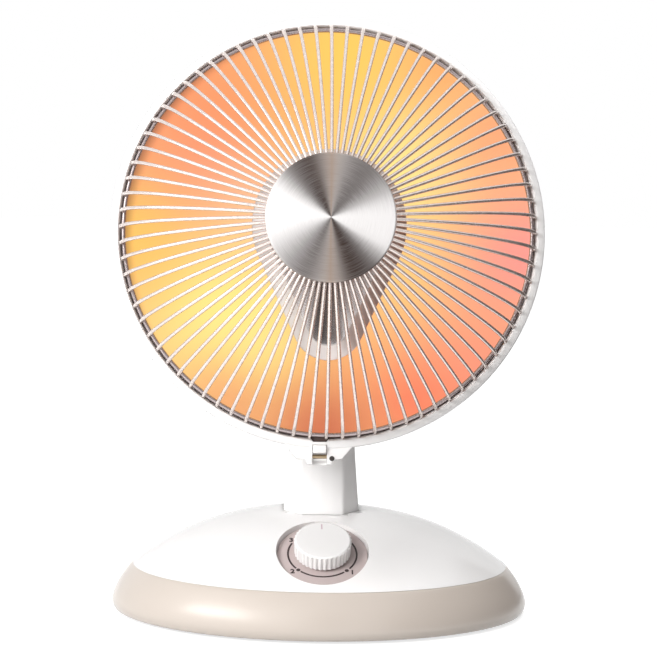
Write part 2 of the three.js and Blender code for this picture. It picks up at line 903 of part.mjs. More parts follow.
function tipPlunger() {
  const collarLow = plateTop + fit + tip.travel;
  const profile = [
    [0, 0],
    [tip.radius - tip.point, 0],
    [tip.radius, tip.point],
    [tip.radius, collarLow],
    [tip.collarRadius, collarLow],
    [tip.collarRadius, collarLow + tip.collarThickness],
    [tip.radius, collarLow + tip.collarThickness],
    [tip.radius, tip.top],
    [0, tip.top],
  ];
  return turned(profile, postSides).translate(0, tipY, 0);
}
piece(heater, 'tip_plunger', tipPlunger(), blackPlastic);

function tipSwitch() {
  const low = tip.top + fit;
  const back = tipY + tip.switchDepth / 2;
  const front = tipY - tip.switchDepth / 2;
  const half = tip.switchWidth / 2;
  const body = block([-half, front, low], [half, back, low + tip.switchHeight]);
  const leg = (x) => block([x - tip.legWidth / 2, front, plateTop + fit],
    [x + tip.legWidth / 2, back, low + overrun]);
  return join(body, leg(half - tip.legWidth / 2), leg(tip.legWidth / 2 - half));
}
piece(heater, 'tip_switch', tipSwitch(), blackPlastic);

// Rear housing: a bowl with a flat middle, a thick rim and radial vent slots

const rimInner = head.housingRadius - head.rimWidth;
const hoopRadius = rimInner - guard.hoopGap - guard.hoopWireRadius;
const dishRadius = hoopRadius - head.dishInset;
const flangeBack = -guard.hoopWireRadius - fit - head.dishSheet;
const ledge = flangeBack - fit;
const flatRadius = cap.radius + head.flatMargin;
const tongueFront = -guard.tongueThickness / 2;
const tongueTurn = -Math.asin(latch.sideways / rimInner);
const tongueAngles = [-1, 0, 1].map((third) => tongueTurn + (third * 2 * Math.PI) / 3);

function bowlProfile(shares, inwards) {
  const reach = head.housingRadius - inwards - flatRadius;
  const depth = head.housingDepth - head.rimDepth - inwards;
  return shares.map((share) => [
    flatRadius + reach * share,
    -head.rimDepth - depth * (1 - share ** 2) ** housingCurve,
  ]);
}

// Carries a geometry made at the bottom of the head round to another clock place
function aroundHead(geometry, angle) {
  return geometry.rotateZ(angle);
}

// The pockets in the rim that take the guard's tongues
function tonguePocket(angle) {
  const half = guard.tongueWidth / 2 + fit;
  const pocket = block(
    [-half, -rimInner - guard.tongueReach - fit, tongueFront - guard.tongueThickness - fit],
    [half, -hoopRadius, tongueFront + fit]);
  return aroundHead(pocket, angle);
}

const latchPinY = -head.housingRadius - latch.pinBelowRim;
const latchPinZ = -latch.pinBehind;
const latchPinHalf = latch.slotWidth / 2 + latch.pinOverhang;
const latchBossFront = head.rimFront - latch.bossInset;

// The latch sits a little to the left of the neck, between two wires
function atLatch(geometry) {
  return geometry.translate(-latch.sideways, 0, 0);
}

function latchBoss() {
  const top = -head.housingRadius + latch.bossSink;
  const bottom = -head.housingRadius - latch.bossReach;
  const outline = [
    [-latch.bossTopWidth / 2, top],
    [-latch.bossBottomWidth / 2, bottom],
    [latch.bossBottomWidth / 2, bottom],
    [latch.bossTopWidth / 2, top],
  ];
  return atLatch(raised(outline, head.rimFront - latch.bossDepth, latchBossFront));
}

const latchFaceTop = -head.housingRadius + latch.leverRise;

function latchSlot() {
  const half = latch.slotWidth / 2;
  const low = [-half, -head.housingRadius - latch.bossReach * 2, head.rimFront - latch.slotDepth];
  return atLatch(block(low, [half, latchFaceTop + fit, head.rimFront + overrun]));
}

function latchNotch() {
  const outline = [
    [-latch.notchTopWidth / 2, -hoopRadius],
    [-latch.notchBottomWidth / 2, -rimInner - guard.tongueReach / 2],
    [latch.notchBottomWidth / 2, -rimInner - guard.tongueReach / 2],
    [latch.notchTopWidth / 2, -hoopRadius],
  ];
  const floor = tongueFront - guard.tongueThickness - fit;
  return atLatch(raised(outline, floor, head.rimFront + overrun));
}

const capScrewPlaces = capScrewAngles.map((angle) =>
  [cap.screwCircle * Math.cos(angle), cap.screwCircle * Math.sin(angle)]);
const armScrewPlaces = [[arm.screwX, arm.screwHigh], [-arm.screwX, arm.screwLow]];

function rearHousing() {
  const outer = bowlProfile(housingShares, 0);
  const inner = bowlProfile(housingInnerShares, head.wall).reverse();
  const ledgeInner = dishRadius + head.dishSheet + fit;
  const profile = [
    [0, -head.housingDepth],
    ...outer,
    [head.housingRadius, head.rimFront - head.rimEdge],
    [head.housingRadius - head.rimEdge, head.rimFront],
    [rimInner + head.rimEdge, head.rimFront],
    [rimInner, head.rimFront - head.rimEdge],
    [rimInner, ledge],
    [ledgeInner, ledge],
    [ledgeInner, -head.rimDepth],
    ...inner.slice(1),
    [0, -head.housingDepth + head.wall],
  ];
  const ventOuter = head.housingRadius - vent.outerInset;
  const slots = [];
  for (let i = 0; i < ventPairs; i++) {
    for (const side of [1, -1]) {
      const slot = block([-vent.width / 2, -ventOuter, -head.housingDepth - overrun],
        [vent.width / 2, vent.length - ventOuter, -head.rimDepth * 2]);
      slots.push(aroundHead(slot, (side * Math.PI * (i + ventTurnShare)) / ventPairs));
    }
  }
  const through = (x, y, radius) => bar(radius + fit, -head.housingDepth - overrun,
    -head.housingDepth + head.wall + overrun, screwSides).translate(x, y, 0);
  const pinHole = atLatch(bar(latch.pinRadius + fit, -latchPinHalf - fit, latchPinHalf + fit,
    screwSides).rotateY(Math.PI / 2).translate(0, latchPinY, latchPinZ));
  const screwHole = atLatch(bar(latch.screwRadius + fit,
    head.rimFront - latch.screwLength - overrun, overrun, screwSides)
    .translate(latch.screwX, latchPinY, 0));
  return cut(join(turned(profile, headSegments), latchBoss()),
    ...slots,
    ...tongueAngles.map(tonguePocket),
    latchNotch(), latchSlot(), pinHole, screwHole,
    ...capScrewPlaces.map(([x, y]) => through(x, y, cap.screwRadius)),
    ...armScrewPlaces.map(([x, y]) => through(x, y, arm.screwRadius)));
}

piece(headGroup, 'rear_housing', rearHousing(), glossWhite);

// Reflector: a paraboloid of thin sheet with a flat flange under the hoop

const dishApex = head.wall - head.housingDepth + head.dishGap + head.dishSheet;
const dishHeight = (radius) =>
  dishApex + (flangeBack - dishApex) * (radius / dishRadius) ** 2;

function reflector() {
  const front = dishShares.map((share) => [dishRadius * share,
    dishHeight(dishRadius * share)]);
  const flangeOuter = rimInner - fit;
  const back = front.map(([radius, height]) => [radius, height - head.dishSheet]).reverse();
  const profile = [
    ...front.slice(0, -1),
    [dishRadius, flangeBack + head.dishSheet],
    [flangeOuter, flangeBack + head.dishSheet],
    [flangeOuter, flangeBack],
    [dishRadius + head.dishSheet, flangeBack],
    ...back.slice(1),
  ];
  return turned(profile, headSegments);
}
piece(headGroup, 'reflector', reflector(), glowingDish);

// The space in front of the dish, which the posts and the bracket are cut to
function dishSpace() {
  const floor = dishShares.map((share) => [dishRadius * share,
    dishHeight(dishRadius * share) + fit]);
  return turned([...floor, [dishRadius, guard.rise], [0, guard.rise]], headSegments);
}

// Shield: a drop-shaped pressed cover, open at the back, in front of the lamp

function dropOutline(inwards) {
  const big = shield.bigRadius - inwards;
  const small = shield.smallRadius - inwards;
  const apart = shield.centreUp + shield.smallDown;
  const lean = Math.asin((big - small) / apart);
  const outline = [];
  const arc = (radius, centre, from, to) => {
    for (let i = 0; i <= shieldArcSteps; i++) {
      const angle = from + ((to - from) * i) / shieldArcSteps;
      outline.push([radius * Math.cos(angle), centre + radius * Math.sin(angle)]);
    }
  };
  arc(big, shield.centreUp, -lean, Math.PI + lean);
  arc(small, -shield.smallDown, Math.PI + lean, 2 * Math.PI - lean);
  return outline;
}

function dropRing(inwards, height) {
  return dropOutline(inwards).map(([x, y]) => new THREE.Vector3(x, y, height));
}

// The space under the shield's sheet, down to a given depth and clear of the sheet by a margin
function shieldHollow(clear, depth) {
  const outline = dropOutline(0).map(([x, y]) => new THREE.Vector2(x, y));
  const knee = shield.front - shield.slopeDepth - shield.sheet / 2;
  return lofted([dropRing(shield.sheet + clear, depth),
    dropRing(shield.sheet + clear, knee - clear),
    dropRing(shield.slopeWidth + shield.sheet + clear, shield.front - shield.sheet - clear)],
  outline);
}

function dropShield() {
  const outline = dropOutline(0).map(([x, y]) => new THREE.Vector2(x, y));
  const back = shield.front - shield.skirt;
  const outer = lofted([dropRing(0, back), dropRing(0, shield.front - shield.slopeDepth),
    dropRing(shield.slopeWidth, shield.front)], outline);
  return cut(outer, shieldHollow(0, back - overrun));
}
piece(headGroup, 'shield', dropShield(), chrome);

const postInset = shield.sheet + fit + shield.postRadius * 2;
const postCircle = shield.bigRadius - postInset;
const shieldPostPlaces = [
  ...shieldPostAngles.map((angle) => [postCircle * Math.cos(angle),
    shield.centreUp + postCircle * Math.sin(angle)]),
  [0, -shield.smallDown - shield.smallRadius + postInset],
];
shieldPostPlaces.forEach(([x, y], i) => {
  const rod = bar(shield.postRadius, -head.housingDepth, shield.front, screwSides)
    .translate(x, y, 0);
  const under = common(rod, shieldHollow(fit, -head.housingDepth - overrun));
  piece(headGroup, `shield_post_${i + 1}`, common(under, dishSpace()), zincSteel);
});

// Lamp: a quartz tube bent into a ring with two legs down, and the carbon ribbon inside it

class LampPath extends THREE.Curve {
  constructor(end) {
    super();
    this.end = end;
    this.turn = Math.asin(lamp.legX / lamp.ringRadius);
    this.legTop = lamp.ringRadius * Math.cos(this.turn);
    this.leg = end - this.legTop;
    this.arc = (2 * Math.PI - 2 * this.turn) * lamp.ringRadius;
    this.whole = this.arc + 2 * this.leg;
  }

  getPoint(share, target = new THREE.Vector3()) {
    const along = share * this.whole;
    if (along <= this.leg) return target.set(-lamp.legX, along - this.end, lamp.forward);
    if (along >= this.leg + this.arc) {
      return target.set(lamp.legX, this.whole - along - this.end, lamp.forward);
    }
    const angle = this.turn + (along - this.leg) / lamp.ringRadius;
    return target.set(-lamp.ringRadius * Math.sin(angle), -lamp.ringRadius * Math.cos(angle),
      lamp.forward);
  }
}

function alongLamp(outline, hole, end) {
  const shape = new THREE.Shape(outline.map(([x, y]) => new THREE.Vector2(x, y)));
  if (hole) shape.holes.push(new THREE.Path(hole.map(([x, y]) => new THREE.Vector2(x, y))));
  return new THREE.ExtrudeGeometry(shape,
    { steps: lampSteps, extrudePath: new LampPath(end), bevelEnabled: false });
}

const lampBore = lamp.tubeRadius - lamp.tubeWall;
piece(headGroup, 'quartz_tube', alongLamp(roundOutline(lamp.tubeRadius, lampSides),
  roundOutline(lampBore, lampSides).reverse(), lamp.legEnd), quartz);

const ribbonHalf = lamp.ribbonThickness / 2;
const ribbon = [
  [-lamp.ribbonHalfWidth, -ribbonHalf],
  [lamp.ribbonHalfWidth, -ribbonHalf],
  [lamp.ribbonHalfWidth, ribbonHalf],
  [-lamp.ribbonHalfWidth, ribbonHalf],
];
piece(headGroup, 'carbon_filament', alongLamp(ribbon, null, lamp.legEnd - fit), carbonGlow);

function alongLeg(geometry, x) {
  return geometry.rotateX(-Math.PI / 2).translate(x, 0, lamp.forward);
}

function lampCap(x) {
  return cut(alongLeg(bar(lamp.capRadius, -lamp.capEnd, -lamp.capTop), x),
    alongLeg(bar(lamp.tubeRadius + fit, -lamp.legEnd - fit, overrun - lamp.capTop), x));
}
[lamp.legX, -lamp.legX].forEach((x, i) =>
  piece(headGroup, `lamp_cap_${i + 1}`, lampCap(x), ceramic));

function lampBracket() {
  const clamp = block([-lamp.bracketHalfWidth, -lamp.bracketBottom,
    lamp.forward - lamp.bracketHalfDepth],
  [lamp.bracketHalfWidth, -lamp.bracketTop, lamp.forward + lamp.bracketHalfDepth]);
  const stem = block([-lamp.stemHalfWidth, -lamp.bracketBottom, -head.housingDepth],
    [lamp.stemHalfWidth, -lamp.bracketTop, lamp.forward - lamp.bracketHalfDepth / 2]);
  const bore = (x) => alongLeg(bar(lamp.capRadius + fit, -lamp.bracketBottom - overrun,
    overrun - lamp.bracketTop), x);
  return cut(join(clamp, common(stem, dishSpace())), bore(lamp.legX), bore(-lamp.legX));
}
piece(headGroup, 'lamp_bracket', lampBracket(), zincSteel);

// Wire guard: evenly spread wires from the inner ring, over a domed front, down to the hoop

class GuardWirePath extends THREE.Curve {
  getPoint(share, target = new THREE.Vector3()) {
    const radius = guard.innerRingRadius + (hoopRadius - guard.innerRingRadius) * share;
    const height = guard.rise * (1 - share ** wireCurve) ** wireShoulder;
    return target.set(0, -radius, height);
  }
}

function guardWire() {
  const outline = roundOutline(guard.wireRadius, wireSides).map(([x, y]) => new THREE.Vector2(x, y));
  return new THREE.ExtrudeGeometry(new THREE.Shape(outline),
    { steps: wireSteps, extrudePath: new GuardWirePath(), bevelEnabled: false });
}

// The hoop's section has one of its flats square to the ends of the wires
function guardHoop() {
  const section = roundOutline(guard.hoopWireRadius, hoopSides, hoopTurn)
    .map(([out, up]) => [hoopRadius + out, up]);
  return turned([...section, section[0]], headSegments);
}

function guardInnerRing() {
  const inner = guard.innerRingRadius - guard.innerRingWidth / 2;
  const outer = guard.innerRingRadius + guard.innerRingWidth / 2;
  const low = guard.rise - guard.innerRingHeight / 2;
  const high = guard.rise + guard.innerRingHeight / 2;
  return turned([[inner, low], [outer, low], [outer, high], [inner, high], [inner, low]],
    headSegments);
}

function guardTongue(angle) {
  const half = guard.tongueWidth / 2;
  const tongue = block([-half, -rimInner - guard.tongueReach, tongueFront - guard.tongueThickness],
    [half, -hoopRadius, tongueFront]);
  return aroundHead(tongue, angle);
}

function wireGuard() {
  const wires = [];
  for (let i = 0; i < wireCount; i++) {
    wires.push(aroundHead(guardWire(), (2 * Math.PI * i) / wireCount));
  }
  return join(
    guardHoop(),
    guardInnerRing(),
    ...wires,
    ...tongueAngles.map(guardTongue));
}
piece(headGroup, 'guard', wireGuard(), chrome);

// Badge disc in front of the wires, its backplate behind them and the screw that clamps them

const badgeBack = guard.rise + guard.innerRingHeight / 2 + fit;
const badgeFront = badgeBack + badge.thickness;
const backplateFront = guard.rise - guard.innerRingHeight / 2 - fit;
const backplateBack = backplateFront - badge.backplateThickness;

function guardBadge() {
  const profile = [
    [0, backplateFront + fit],
    [badge.bossRadius, backplateFront + fit],
    [badge.bossRadius, badgeBack],
    [badge.radius - badge.bevel / 2, badgeBack],
    [badge.radius, badgeBack + badge.bevel / 2],
    [badge.radius, badgeFront - badge.bevel],
    [badge.radius - badge.bevel, badgeFront],
    [0, badgeFront],
  ];
  return cut(turned(profile, headSegments),
    bar(badge.screwRadius + fit, backplateBack, badgeBack, screwSides));
}
piece(headGroup, 'guard_badge', guardBadge(), brushedDisc);

piece(headGroup, 'badge_backplate', cut(
  bar(badge.backplateRadius, backplateBack, backplateFront, headSegments / 2),
  bar(badge.screwRadius + fit, backplateBack - overrun, backplateFront + overrun, screwSides)),
zincSteel);

const badgeScrew = piece(headGroup, 'badge_screw', screw(badge.screwRadius,
  badgeBack - backplateBack, badge.screwHeadRadius, badge.screwHeadHeight), zincSteel);
badgeScrew.rotation.x = Math.PI;
badgeScrew.position.z = backplateBack - fit;

// Guard latch: a lever on a pin in the boss, its face in front of the lower tongue

function latchLever() {
  const faceBack = tongueFront + fit;
  const half = latch.leverWidth / 2;
  const face = block([-half, latchPinY, faceBack],
    [half, latchFaceTop, faceBack + latch.leverThickness]);
  const barrel = bar(latch.barrelRadius, -half, half, screwSides)
    .rotateY(Math.PI / 2).translate(0, latchPinY, latchPinZ);
  const web = block([-half, latchPinY - latch.barrelRadius / 2, latchPinZ],
    [half, latchPinY + latch.barrelRadius / 2, faceBack + latch.leverThickness / 2]);
  const bore = bar(latch.pinRadius + fit, -half - overrun, half + overrun, screwSides)
    .rotateY(Math.PI / 2).translate(0, latchPinY, latchPinZ);
  return atLatch(cut(join(face, barrel, web), bore));
}
piece(headGroup, 'guard_latch', latchLever(), glossWhite);

piece(headGroup, 'latch_pin', atLatch(bar(latch.pinRadius, -latchPinHalf, latchPinHalf,
  screwSides).rotateY(Math.PI / 2).translate(0, latchPinY, latchPinZ)), darkSteel);

const latchScrew = piece(headGroup, 'latch_screw', screw(latch.screwRadius, latch.screwLength,
  latch.screwHeadRadius, latch.screwHeadHeight), darkSteel);
latchScrew.position.set(latch.screwX - latch.sideways, latchPinY, latchBossFront + fit);

// Rear cap: a round cup over the wiring, open to the arm at its bottom

const capFront = -head.housingDepth - fit;
const capBack = capFront - cap.depth;
const capSeat = capBack + cap.screwHeadHeight + cap.wall;
const lugHalf = pivot.earInset - fit - pivot.washerThickness - fit;

function rearCap() {
  const inner = cap.radius - cap.wall;
  const profile = [
    [inner, capFront],
    [cap.radius, capFront],
    [cap.radius, capBack + cap.edge],
    [cap.radius - cap.edge, capBack],
    [0, capBack],
    [0, capBack + cap.wall],
    [inner - cap.edge + cap.wall / 2, capBack + cap.wall],
    [inner, capBack + cap.edge],
    [inner, capFront],
  ];
  const bosses = capScrewPlaces.map(([x, y]) =>
    bar(cap.bossRadius, capBack + cap.wall / 2, capFront, screwSides).translate(x, y, 0));
  const slotHalf = lugHalf + cap.slotMargin;
  const slotBack = -pivotBehind - pivot.lugRadius - cap.slotMargin;
  const slot = block([-slotHalf, -cap.radius * 2, slotBack], [slotHalf, arm.lugTop,
    capFront + overrun]);
  const bores = capScrewPlaces.flatMap(([x, y]) => [
    bar(cap.screwRadius + fit, capBack - overrun, capFront + overrun, screwSides).translate(x, y, 0),
    bar(cap.screwHeadRadius + fit, capBack - overrun, capSeat, screwSides).translate(x, y, 0),
  ]);
  return cut(join(turned(profile, headSegments / 2), ...bosses), slot, ...bores);
}
piece(headGroup, 'rear_cap', rearCap(), glossWhite);

capScrewPlaces.forEach(([x, y], i) => {
  const length = -head.housingDepth + head.wall + tipLength - capSeat;
  const fixing = piece(headGroup, `cap_screw_${i + 1}`,
    screw(cap.screwRadius, length, cap.screwHeadRadius, cap.screwHeadHeight), zincSteel);
  fixing.rotation.x = Math.PI;
  fixing.position.set(x, y, capSeat - fit);
});

// Head arm: a plate on the back of the housing and a lug down to the pivot

function headArm() {
  const plateBack = capFront - arm.plateThickness;
  const plate = block([-arm.plateWidth / 2, arm.plateBottom, plateBack],
    [arm.plateWidth / 2, arm.plateTop, capFront]);
  const outline = [
    [arm.lugTop, capFront],
    [arm.plateBottom, capFront],
    [arm.plateBottom, -pivotBehind + pivot.lugRadius],
  ];
  for (let i = 0; i <= boltSides / 2; i++) {
    const angle = (2 * Math.PI * i) / boltSides;
    outline.push([-head.pivotBelow - pivot.lugRadius * Math.sin(angle),
      -pivotBehind + pivot.lugRadius * Math.cos(angle)]);
  }
  outline.push([arm.lugTop, -pivotBehind - pivot.lugRadius]);
  const lug = raisedAcross(outline, -lugHalf, lugHalf);
  const bore = bar(pivot.boltRadius + fit, -neck.topHalfWidth, neck.topHalfWidth)
    .rotateY(Math.PI / 2).translate(0, -head.pivotBelow, -pivotBehind);
  const holes = armScrewPlaces.map(([x, y]) => bar(arm.screwRadius + fit, plateBack - overrun,
    capFront + overrun, screwSides).translate(x, y, 0));
  return cut(join(plate, lug), bore, ...holes);
}
piece(headGroup, 'head_arm', headArm(), darkSteel);

armScrewPlaces.forEach(([x, y], i) => {
  const seat = capFront - arm.plateThickness - fit;
  const length = -head.housingDepth + head.wall + tipLength - seat;
  const fixing = piece(headGroup, `arm_screw_${i + 1}`,
    screw(arm.screwRadius, length, arm.screwHeadRadius, arm.screwHeadHeight), zincSteel);
  fixing.rotation.x = Math.PI;
  fixing.position.set(x, y, seat);
});

// Terminal block and thermal cut-out under the cap

piece(headGroup, 'terminal_block', block(
  [-terminal.width / 2, terminal.up - terminal.height / 2, capFront - terminal.depth],
  [terminal.width / 2, terminal.up + terminal.height / 2, capFront]), ceramic);
piece(headGroup, 'thermal_cutout', bar(cutout.radius, capFront - cutout.depth, capFront)
  .translate(cutout.x, cutout.up, 0), blackPlastic);

// The origin lies under the middle of the heater's bounding box, on the floor

heater.updateMatrixWorld(true);
const outerBox = new THREE.Box3().setFromObject(heater, true);
heater.position.y = -(outerBox.min.y + outerBox.max.y) / 2;

export default heater;
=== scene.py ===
"""Looks of the carbon heater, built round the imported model. Sizes in millimetres, pieces in metres."""

import math

import bmesh
import bpy
from mathutils import Matrix, Vector


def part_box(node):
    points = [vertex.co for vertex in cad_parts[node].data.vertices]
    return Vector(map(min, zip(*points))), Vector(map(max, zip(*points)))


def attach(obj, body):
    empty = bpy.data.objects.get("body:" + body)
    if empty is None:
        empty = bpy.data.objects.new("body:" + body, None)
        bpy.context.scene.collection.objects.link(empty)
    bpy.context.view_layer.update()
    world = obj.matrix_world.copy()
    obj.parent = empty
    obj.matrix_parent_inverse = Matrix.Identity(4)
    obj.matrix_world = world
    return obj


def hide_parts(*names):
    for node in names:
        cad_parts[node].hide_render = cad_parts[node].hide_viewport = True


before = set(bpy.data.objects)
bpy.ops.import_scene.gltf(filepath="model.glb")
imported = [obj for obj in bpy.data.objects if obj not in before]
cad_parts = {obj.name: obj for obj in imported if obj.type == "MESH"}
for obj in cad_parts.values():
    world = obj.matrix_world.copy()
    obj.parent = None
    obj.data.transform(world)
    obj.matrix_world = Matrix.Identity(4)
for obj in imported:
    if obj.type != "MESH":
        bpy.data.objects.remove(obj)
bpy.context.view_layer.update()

# Places: the neck's axis, the head (forward is +Z, up is +Y) and the dial (out of the panel is +Z)

post_low, post_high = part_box("neck_post")
NECK_Y = (post_low.y + post_high.y) / 2
METRES = Matrix.Scale(0.001, 4)
BASE = Matrix.Translation((0, NECK_Y, 0)) @ METRES
HEAD_TILT = math.radians(80)
HEAD = (Matrix.Translation((0, NECK_Y, 0.188)) @ Matrix.Rotation(HEAD_TILT, 4, "X")
        @ Matrix.Translation((0, 0.057, 0.084)) @ METRES)
DIAL = (Matrix.Translation((0, NECK_Y - 0.061, 0.050))
        @ Matrix.Rotation(math.radians(28.5), 4, "X") @ METRES)

# Sizes that several pieces use

BASE_HALF_WIDTH = 140
BASE_HALF_DEPTH = 101
BASE_WALL = 2.2
SEAM_INSET_X = 13.3
SEAM_INSET_Y = 10
HEM_HEIGHT = 7
SEAM_HEIGHT = 31
SEAM_GAP = 0.12
DOME_RISE = 39
WELL_RADIUS = 29.5
TRACK_RADIUS = 22.2
NECK_FOOT_Z = 58.3
NECK_TOP_Z = 178
NECK_WALL = 2
RIM_RADIUS = 137
RIM_INNER = 131.5
HOUSING_WALL = 1.6
HOUSING_DEPTH = 60
BOWL_FLAT = 43
BOWL_EDGE = -8
HOOP_RADIUS = 128.7
HOOP_WIRE = 1.4
DISH_RADIUS = 127
DISH_APEX = -53.3
DISH_EDGE = -2.7
DISH_LIP = 128.2
DISH_SHEET = 0.8
FLANGE_RADIUS = 130.5
LAMP_RADIUS = 33
LAMP_HEIGHT = 10
LEG_ASIDE = 8
FACE_MIDDLE = -18
GUARD_RISE = 51.3
LATCH_X = -3.8
TONGUE_TURN = math.asin(LATCH_X / RIM_INNER)
TONGUES = [HEAD @ Matrix.Rotation(TONGUE_TURN + math.radians(angle), 4, "Z")
           for angle in (0, 120, 240)]
LATCH_PIN_Y = -142
LATCH_PIN_Z = -3.4
LATCH = HEAD @ Matrix.Translation((LATCH_X, 0, 0))
PIN_AXIS = (LATCH @ Matrix.Translation((0, LATCH_PIN_Y, LATCH_PIN_Z))
            @ Matrix.Rotation(math.pi / 2, 4, "Y"))
BOSS_SCREW = LATCH @ Matrix.Translation((7.7, LATCH_PIN_Y - 1.2, 0))
GLAND = (Matrix.Translation((0, NECK_Y + (BASE_HALF_DEPTH - 2.5) / 1000, 0.019))
         @ Matrix.Rotation(-math.pi / 2, 4, "X") @ METRES)


# Colour, as it is seen on a screen, turned to the linear values that Blender wants

def tint(red, green, blue):
    def linear(value):
        share = value / 255
        return share / 12.92 if share <= 0.04045 else ((share + 0.055) / 1.055) ** 2.4
    return (linear(red), linear(green), linear(blue), 1)


# Node helpers

def add(tree, kind, inputs=None, **settings):
    node = tree.nodes.new(kind)
    for name, value in settings.items():
        setattr(node, name, value)
    for name, value in (inputs or {}).items():
        if isinstance(value, bpy.types.NodeSocket):
            tree.links.new(value, node.inputs[name])
        else:
            node.inputs[name].default_value = value
    return node


def maths(tree, operation, *values):
    return add(tree, "ShaderNodeMath", dict(enumerate(values)), operation=operation).outputs[0]


def vector_maths(tree, operation, *values):
    return add(tree, "ShaderNodeVectorMath", dict(enumerate(values)), operation=operation).outputs


def noise(tree, vector, scale, detail, roughness=0.5):
    return add(tree, "ShaderNodeTexNoise", {"Vector": vector, "Scale": scale, "Detail": detail,
                                            "Roughness": roughness}).outputs["Fac"]


def give(tree, sockets, values):
    """Links each value to the socket of its name."""
    for name, value in values.items():
        tree.links.new(value, sockets[name])


def ranged(tree, value, low, high, to_low=0, to_high=1, **settings):
    return add(tree, "ShaderNodeMapRange", {"Value": value, "From Min": low, "From Max": high,
                                            "To Min": to_low, "To Max": to_high},
               **settings).outputs[0]


def blend_colour(tree, share, under, over):
    """A mix of two colours; the node's sockets go by number, as their names repeat."""
    return add(tree, "ShaderNodeMix", {0: share, 6: under, 7: over}, data_type="RGBA").outputs[2]


def grey_ramp(tree, share, stops, low, span):
    """A smooth grey scale over the share, from pairs of place and brightness."""
    scale = add(tree, "ShaderNodeValToRGB", {"Fac": share})
    ramp = scale.color_ramp
    ramp.interpolation = "B_SPLINE"
    for place, grey in stops:
        stop = ramp.elements[0] if place == low else ramp.elements.new((place - low) / span)
        stop.position = (place - low) / span
        stop.color = (grey, grey, grey, 1)
    ramp.elements[-1].color = (*[stops[-1][1]] * 3, 1)
    return scale.outputs["Color"]


def new_group(name, kind, inputs, outputs):
    tree = bpy.data.node_groups.new(name, kind)
    for label, socket, value in inputs:
        item = tree.interface.new_socket(label, in_out="INPUT", socket_type="NodeSocket" + socket)
        if value is not None:
            item.default_value = value
    for label, socket in outputs:
        tree.interface.new_socket(label, in_out="OUTPUT", socket_type="NodeSocket" + socket)
    return tree, tree.nodes.new("NodeGroupInput").outputs, tree.nodes.new("NodeGroupOutput").inputs


# Surface effects that several finishes use

SURFACE = [("Colour", "Color"), ("Roughness", "Float"), ("Height", "Float")]


def moulded_surface():
    """Fine grain, slow waviness and slight mottling of moulded plastic."""
    tree, given, out = new_group("moulded surface", "ShaderNodeTree", [
        ("Vector", "Vector", None), ("Grain", "Float", 900), ("Depth", "Float", 0.2),
        ("Colour", "Color", (1, 1, 1, 1)), ("Mottle", "Float", 0.04),
        ("Roughness", "Float", 0.3)], SURFACE)
    grain = noise(tree, given["Vector"], given["Grain"], 3, 0.6)
    wave = noise(tree, given["Vector"], 14, 2)
    patch = noise(tree, given["Vector"], 38, 5)
    darker = maths(tree, "MULTIPLY", patch, given["Mottle"])
    swing = maths(tree, "MULTIPLY_ADD", patch, 0.12, -0.06)
    give(tree, out, {"Colour": blend_colour(tree, darker, given["Colour"], tint(96, 84, 78)),
                     "Roughness": maths(tree, "ADD", given["Roughness"], swing),
                     "Height": maths(tree, "MULTIPLY_ADD", grain, given["Depth"], wave)})
    return tree


def drawn_metal():
    """Streaks and small scratches of drawn, rolled or plated metal."""
    tree, given, out = new_group("drawn metal", "ShaderNodeTree", [
        ("Vector", "Vector", None), ("Colour", "Color", (1, 1, 1, 1)),
        ("Stain", "Color", (0.2, 0.2, 0.2, 1)), ("Amount", "Float", 0.25),
        ("Scale", "Float", 120), ("Roughness", "Float", 0.3)], SURFACE)
    streak = noise(tree, given["Vector"], given["Scale"], 6, 0.65)
    speck = noise(tree, given["Vector"], 1400, 2)
    share = maths(tree, "MULTIPLY", streak, given["Amount"])
    swing = maths(tree, "MULTIPLY_ADD", streak, 0.2, -0.1)
    give(tree, out, {"Colour": blend_colour(tree, share, given["Colour"], given["Stain"]),
                     "Roughness": maths(tree, "ADD", given["Roughness"], swing),
                     "Height": maths(tree, "ADD", streak, maths(tree, "MULTIPLY", speck, 0.3))})
    return tree


def glow_patch():
    """One soft round patch of another colour, on a surface seen in its own flat coordinates."""
    tree, given, out = new_group("glow patch", "ShaderNodeTree", [
        ("Vector", "Vector", None), ("Under", "Color", (1, 1, 1, 1)),
        ("Patch", "Color", (1, 1, 1, 1)), ("Centre", "Vector", (0, 0, 0)),
        ("Reach", "Float", 0.05), ("Strength", "Float", 1)], [("Colour", "Color")])
    apart = vector_maths(tree, "DISTANCE", given["Vector"], given["Centre"])["Value"]
    share = maths(tree, "DIVIDE", apart, given["Reach"])
    square = maths(tree, "MULTIPLY", share, share)
    fall = maths(tree, "EXPONENT", maths(tree, "MULTIPLY", square, -1))
    strength = maths(tree, "MULTIPLY", fall, given["Strength"])
    give(tree, out, {"Colour": blend_colour(tree, strength, given["Under"], given["Patch"])})
    return tree


# Painted reflection: how bright a spun face is by direction, in degrees anticlockwise from its right
# side

PAINTED_REFLECTION_WEDGES = ((-180, 1), (-160, 0.8), (-142, 0.44), (-127, 0.25), (-113, 0.11), (-100, 0.3),
          (-88, 0.44), (-76, 0.06), (-64, 0.0), (-48, 0.1), (-36, 0.5), (-27, 0.98), (0, 1),
          (14, 0.9), (26, 0.5), (42, 0.2), (56, 0.12), (72, 0.22), (86, 0.42), (96, 0.26),
          (108, 0.02), (122, 0.06), (134, 0.18), (146, 0.66), (158, 0.95), (180, 1))


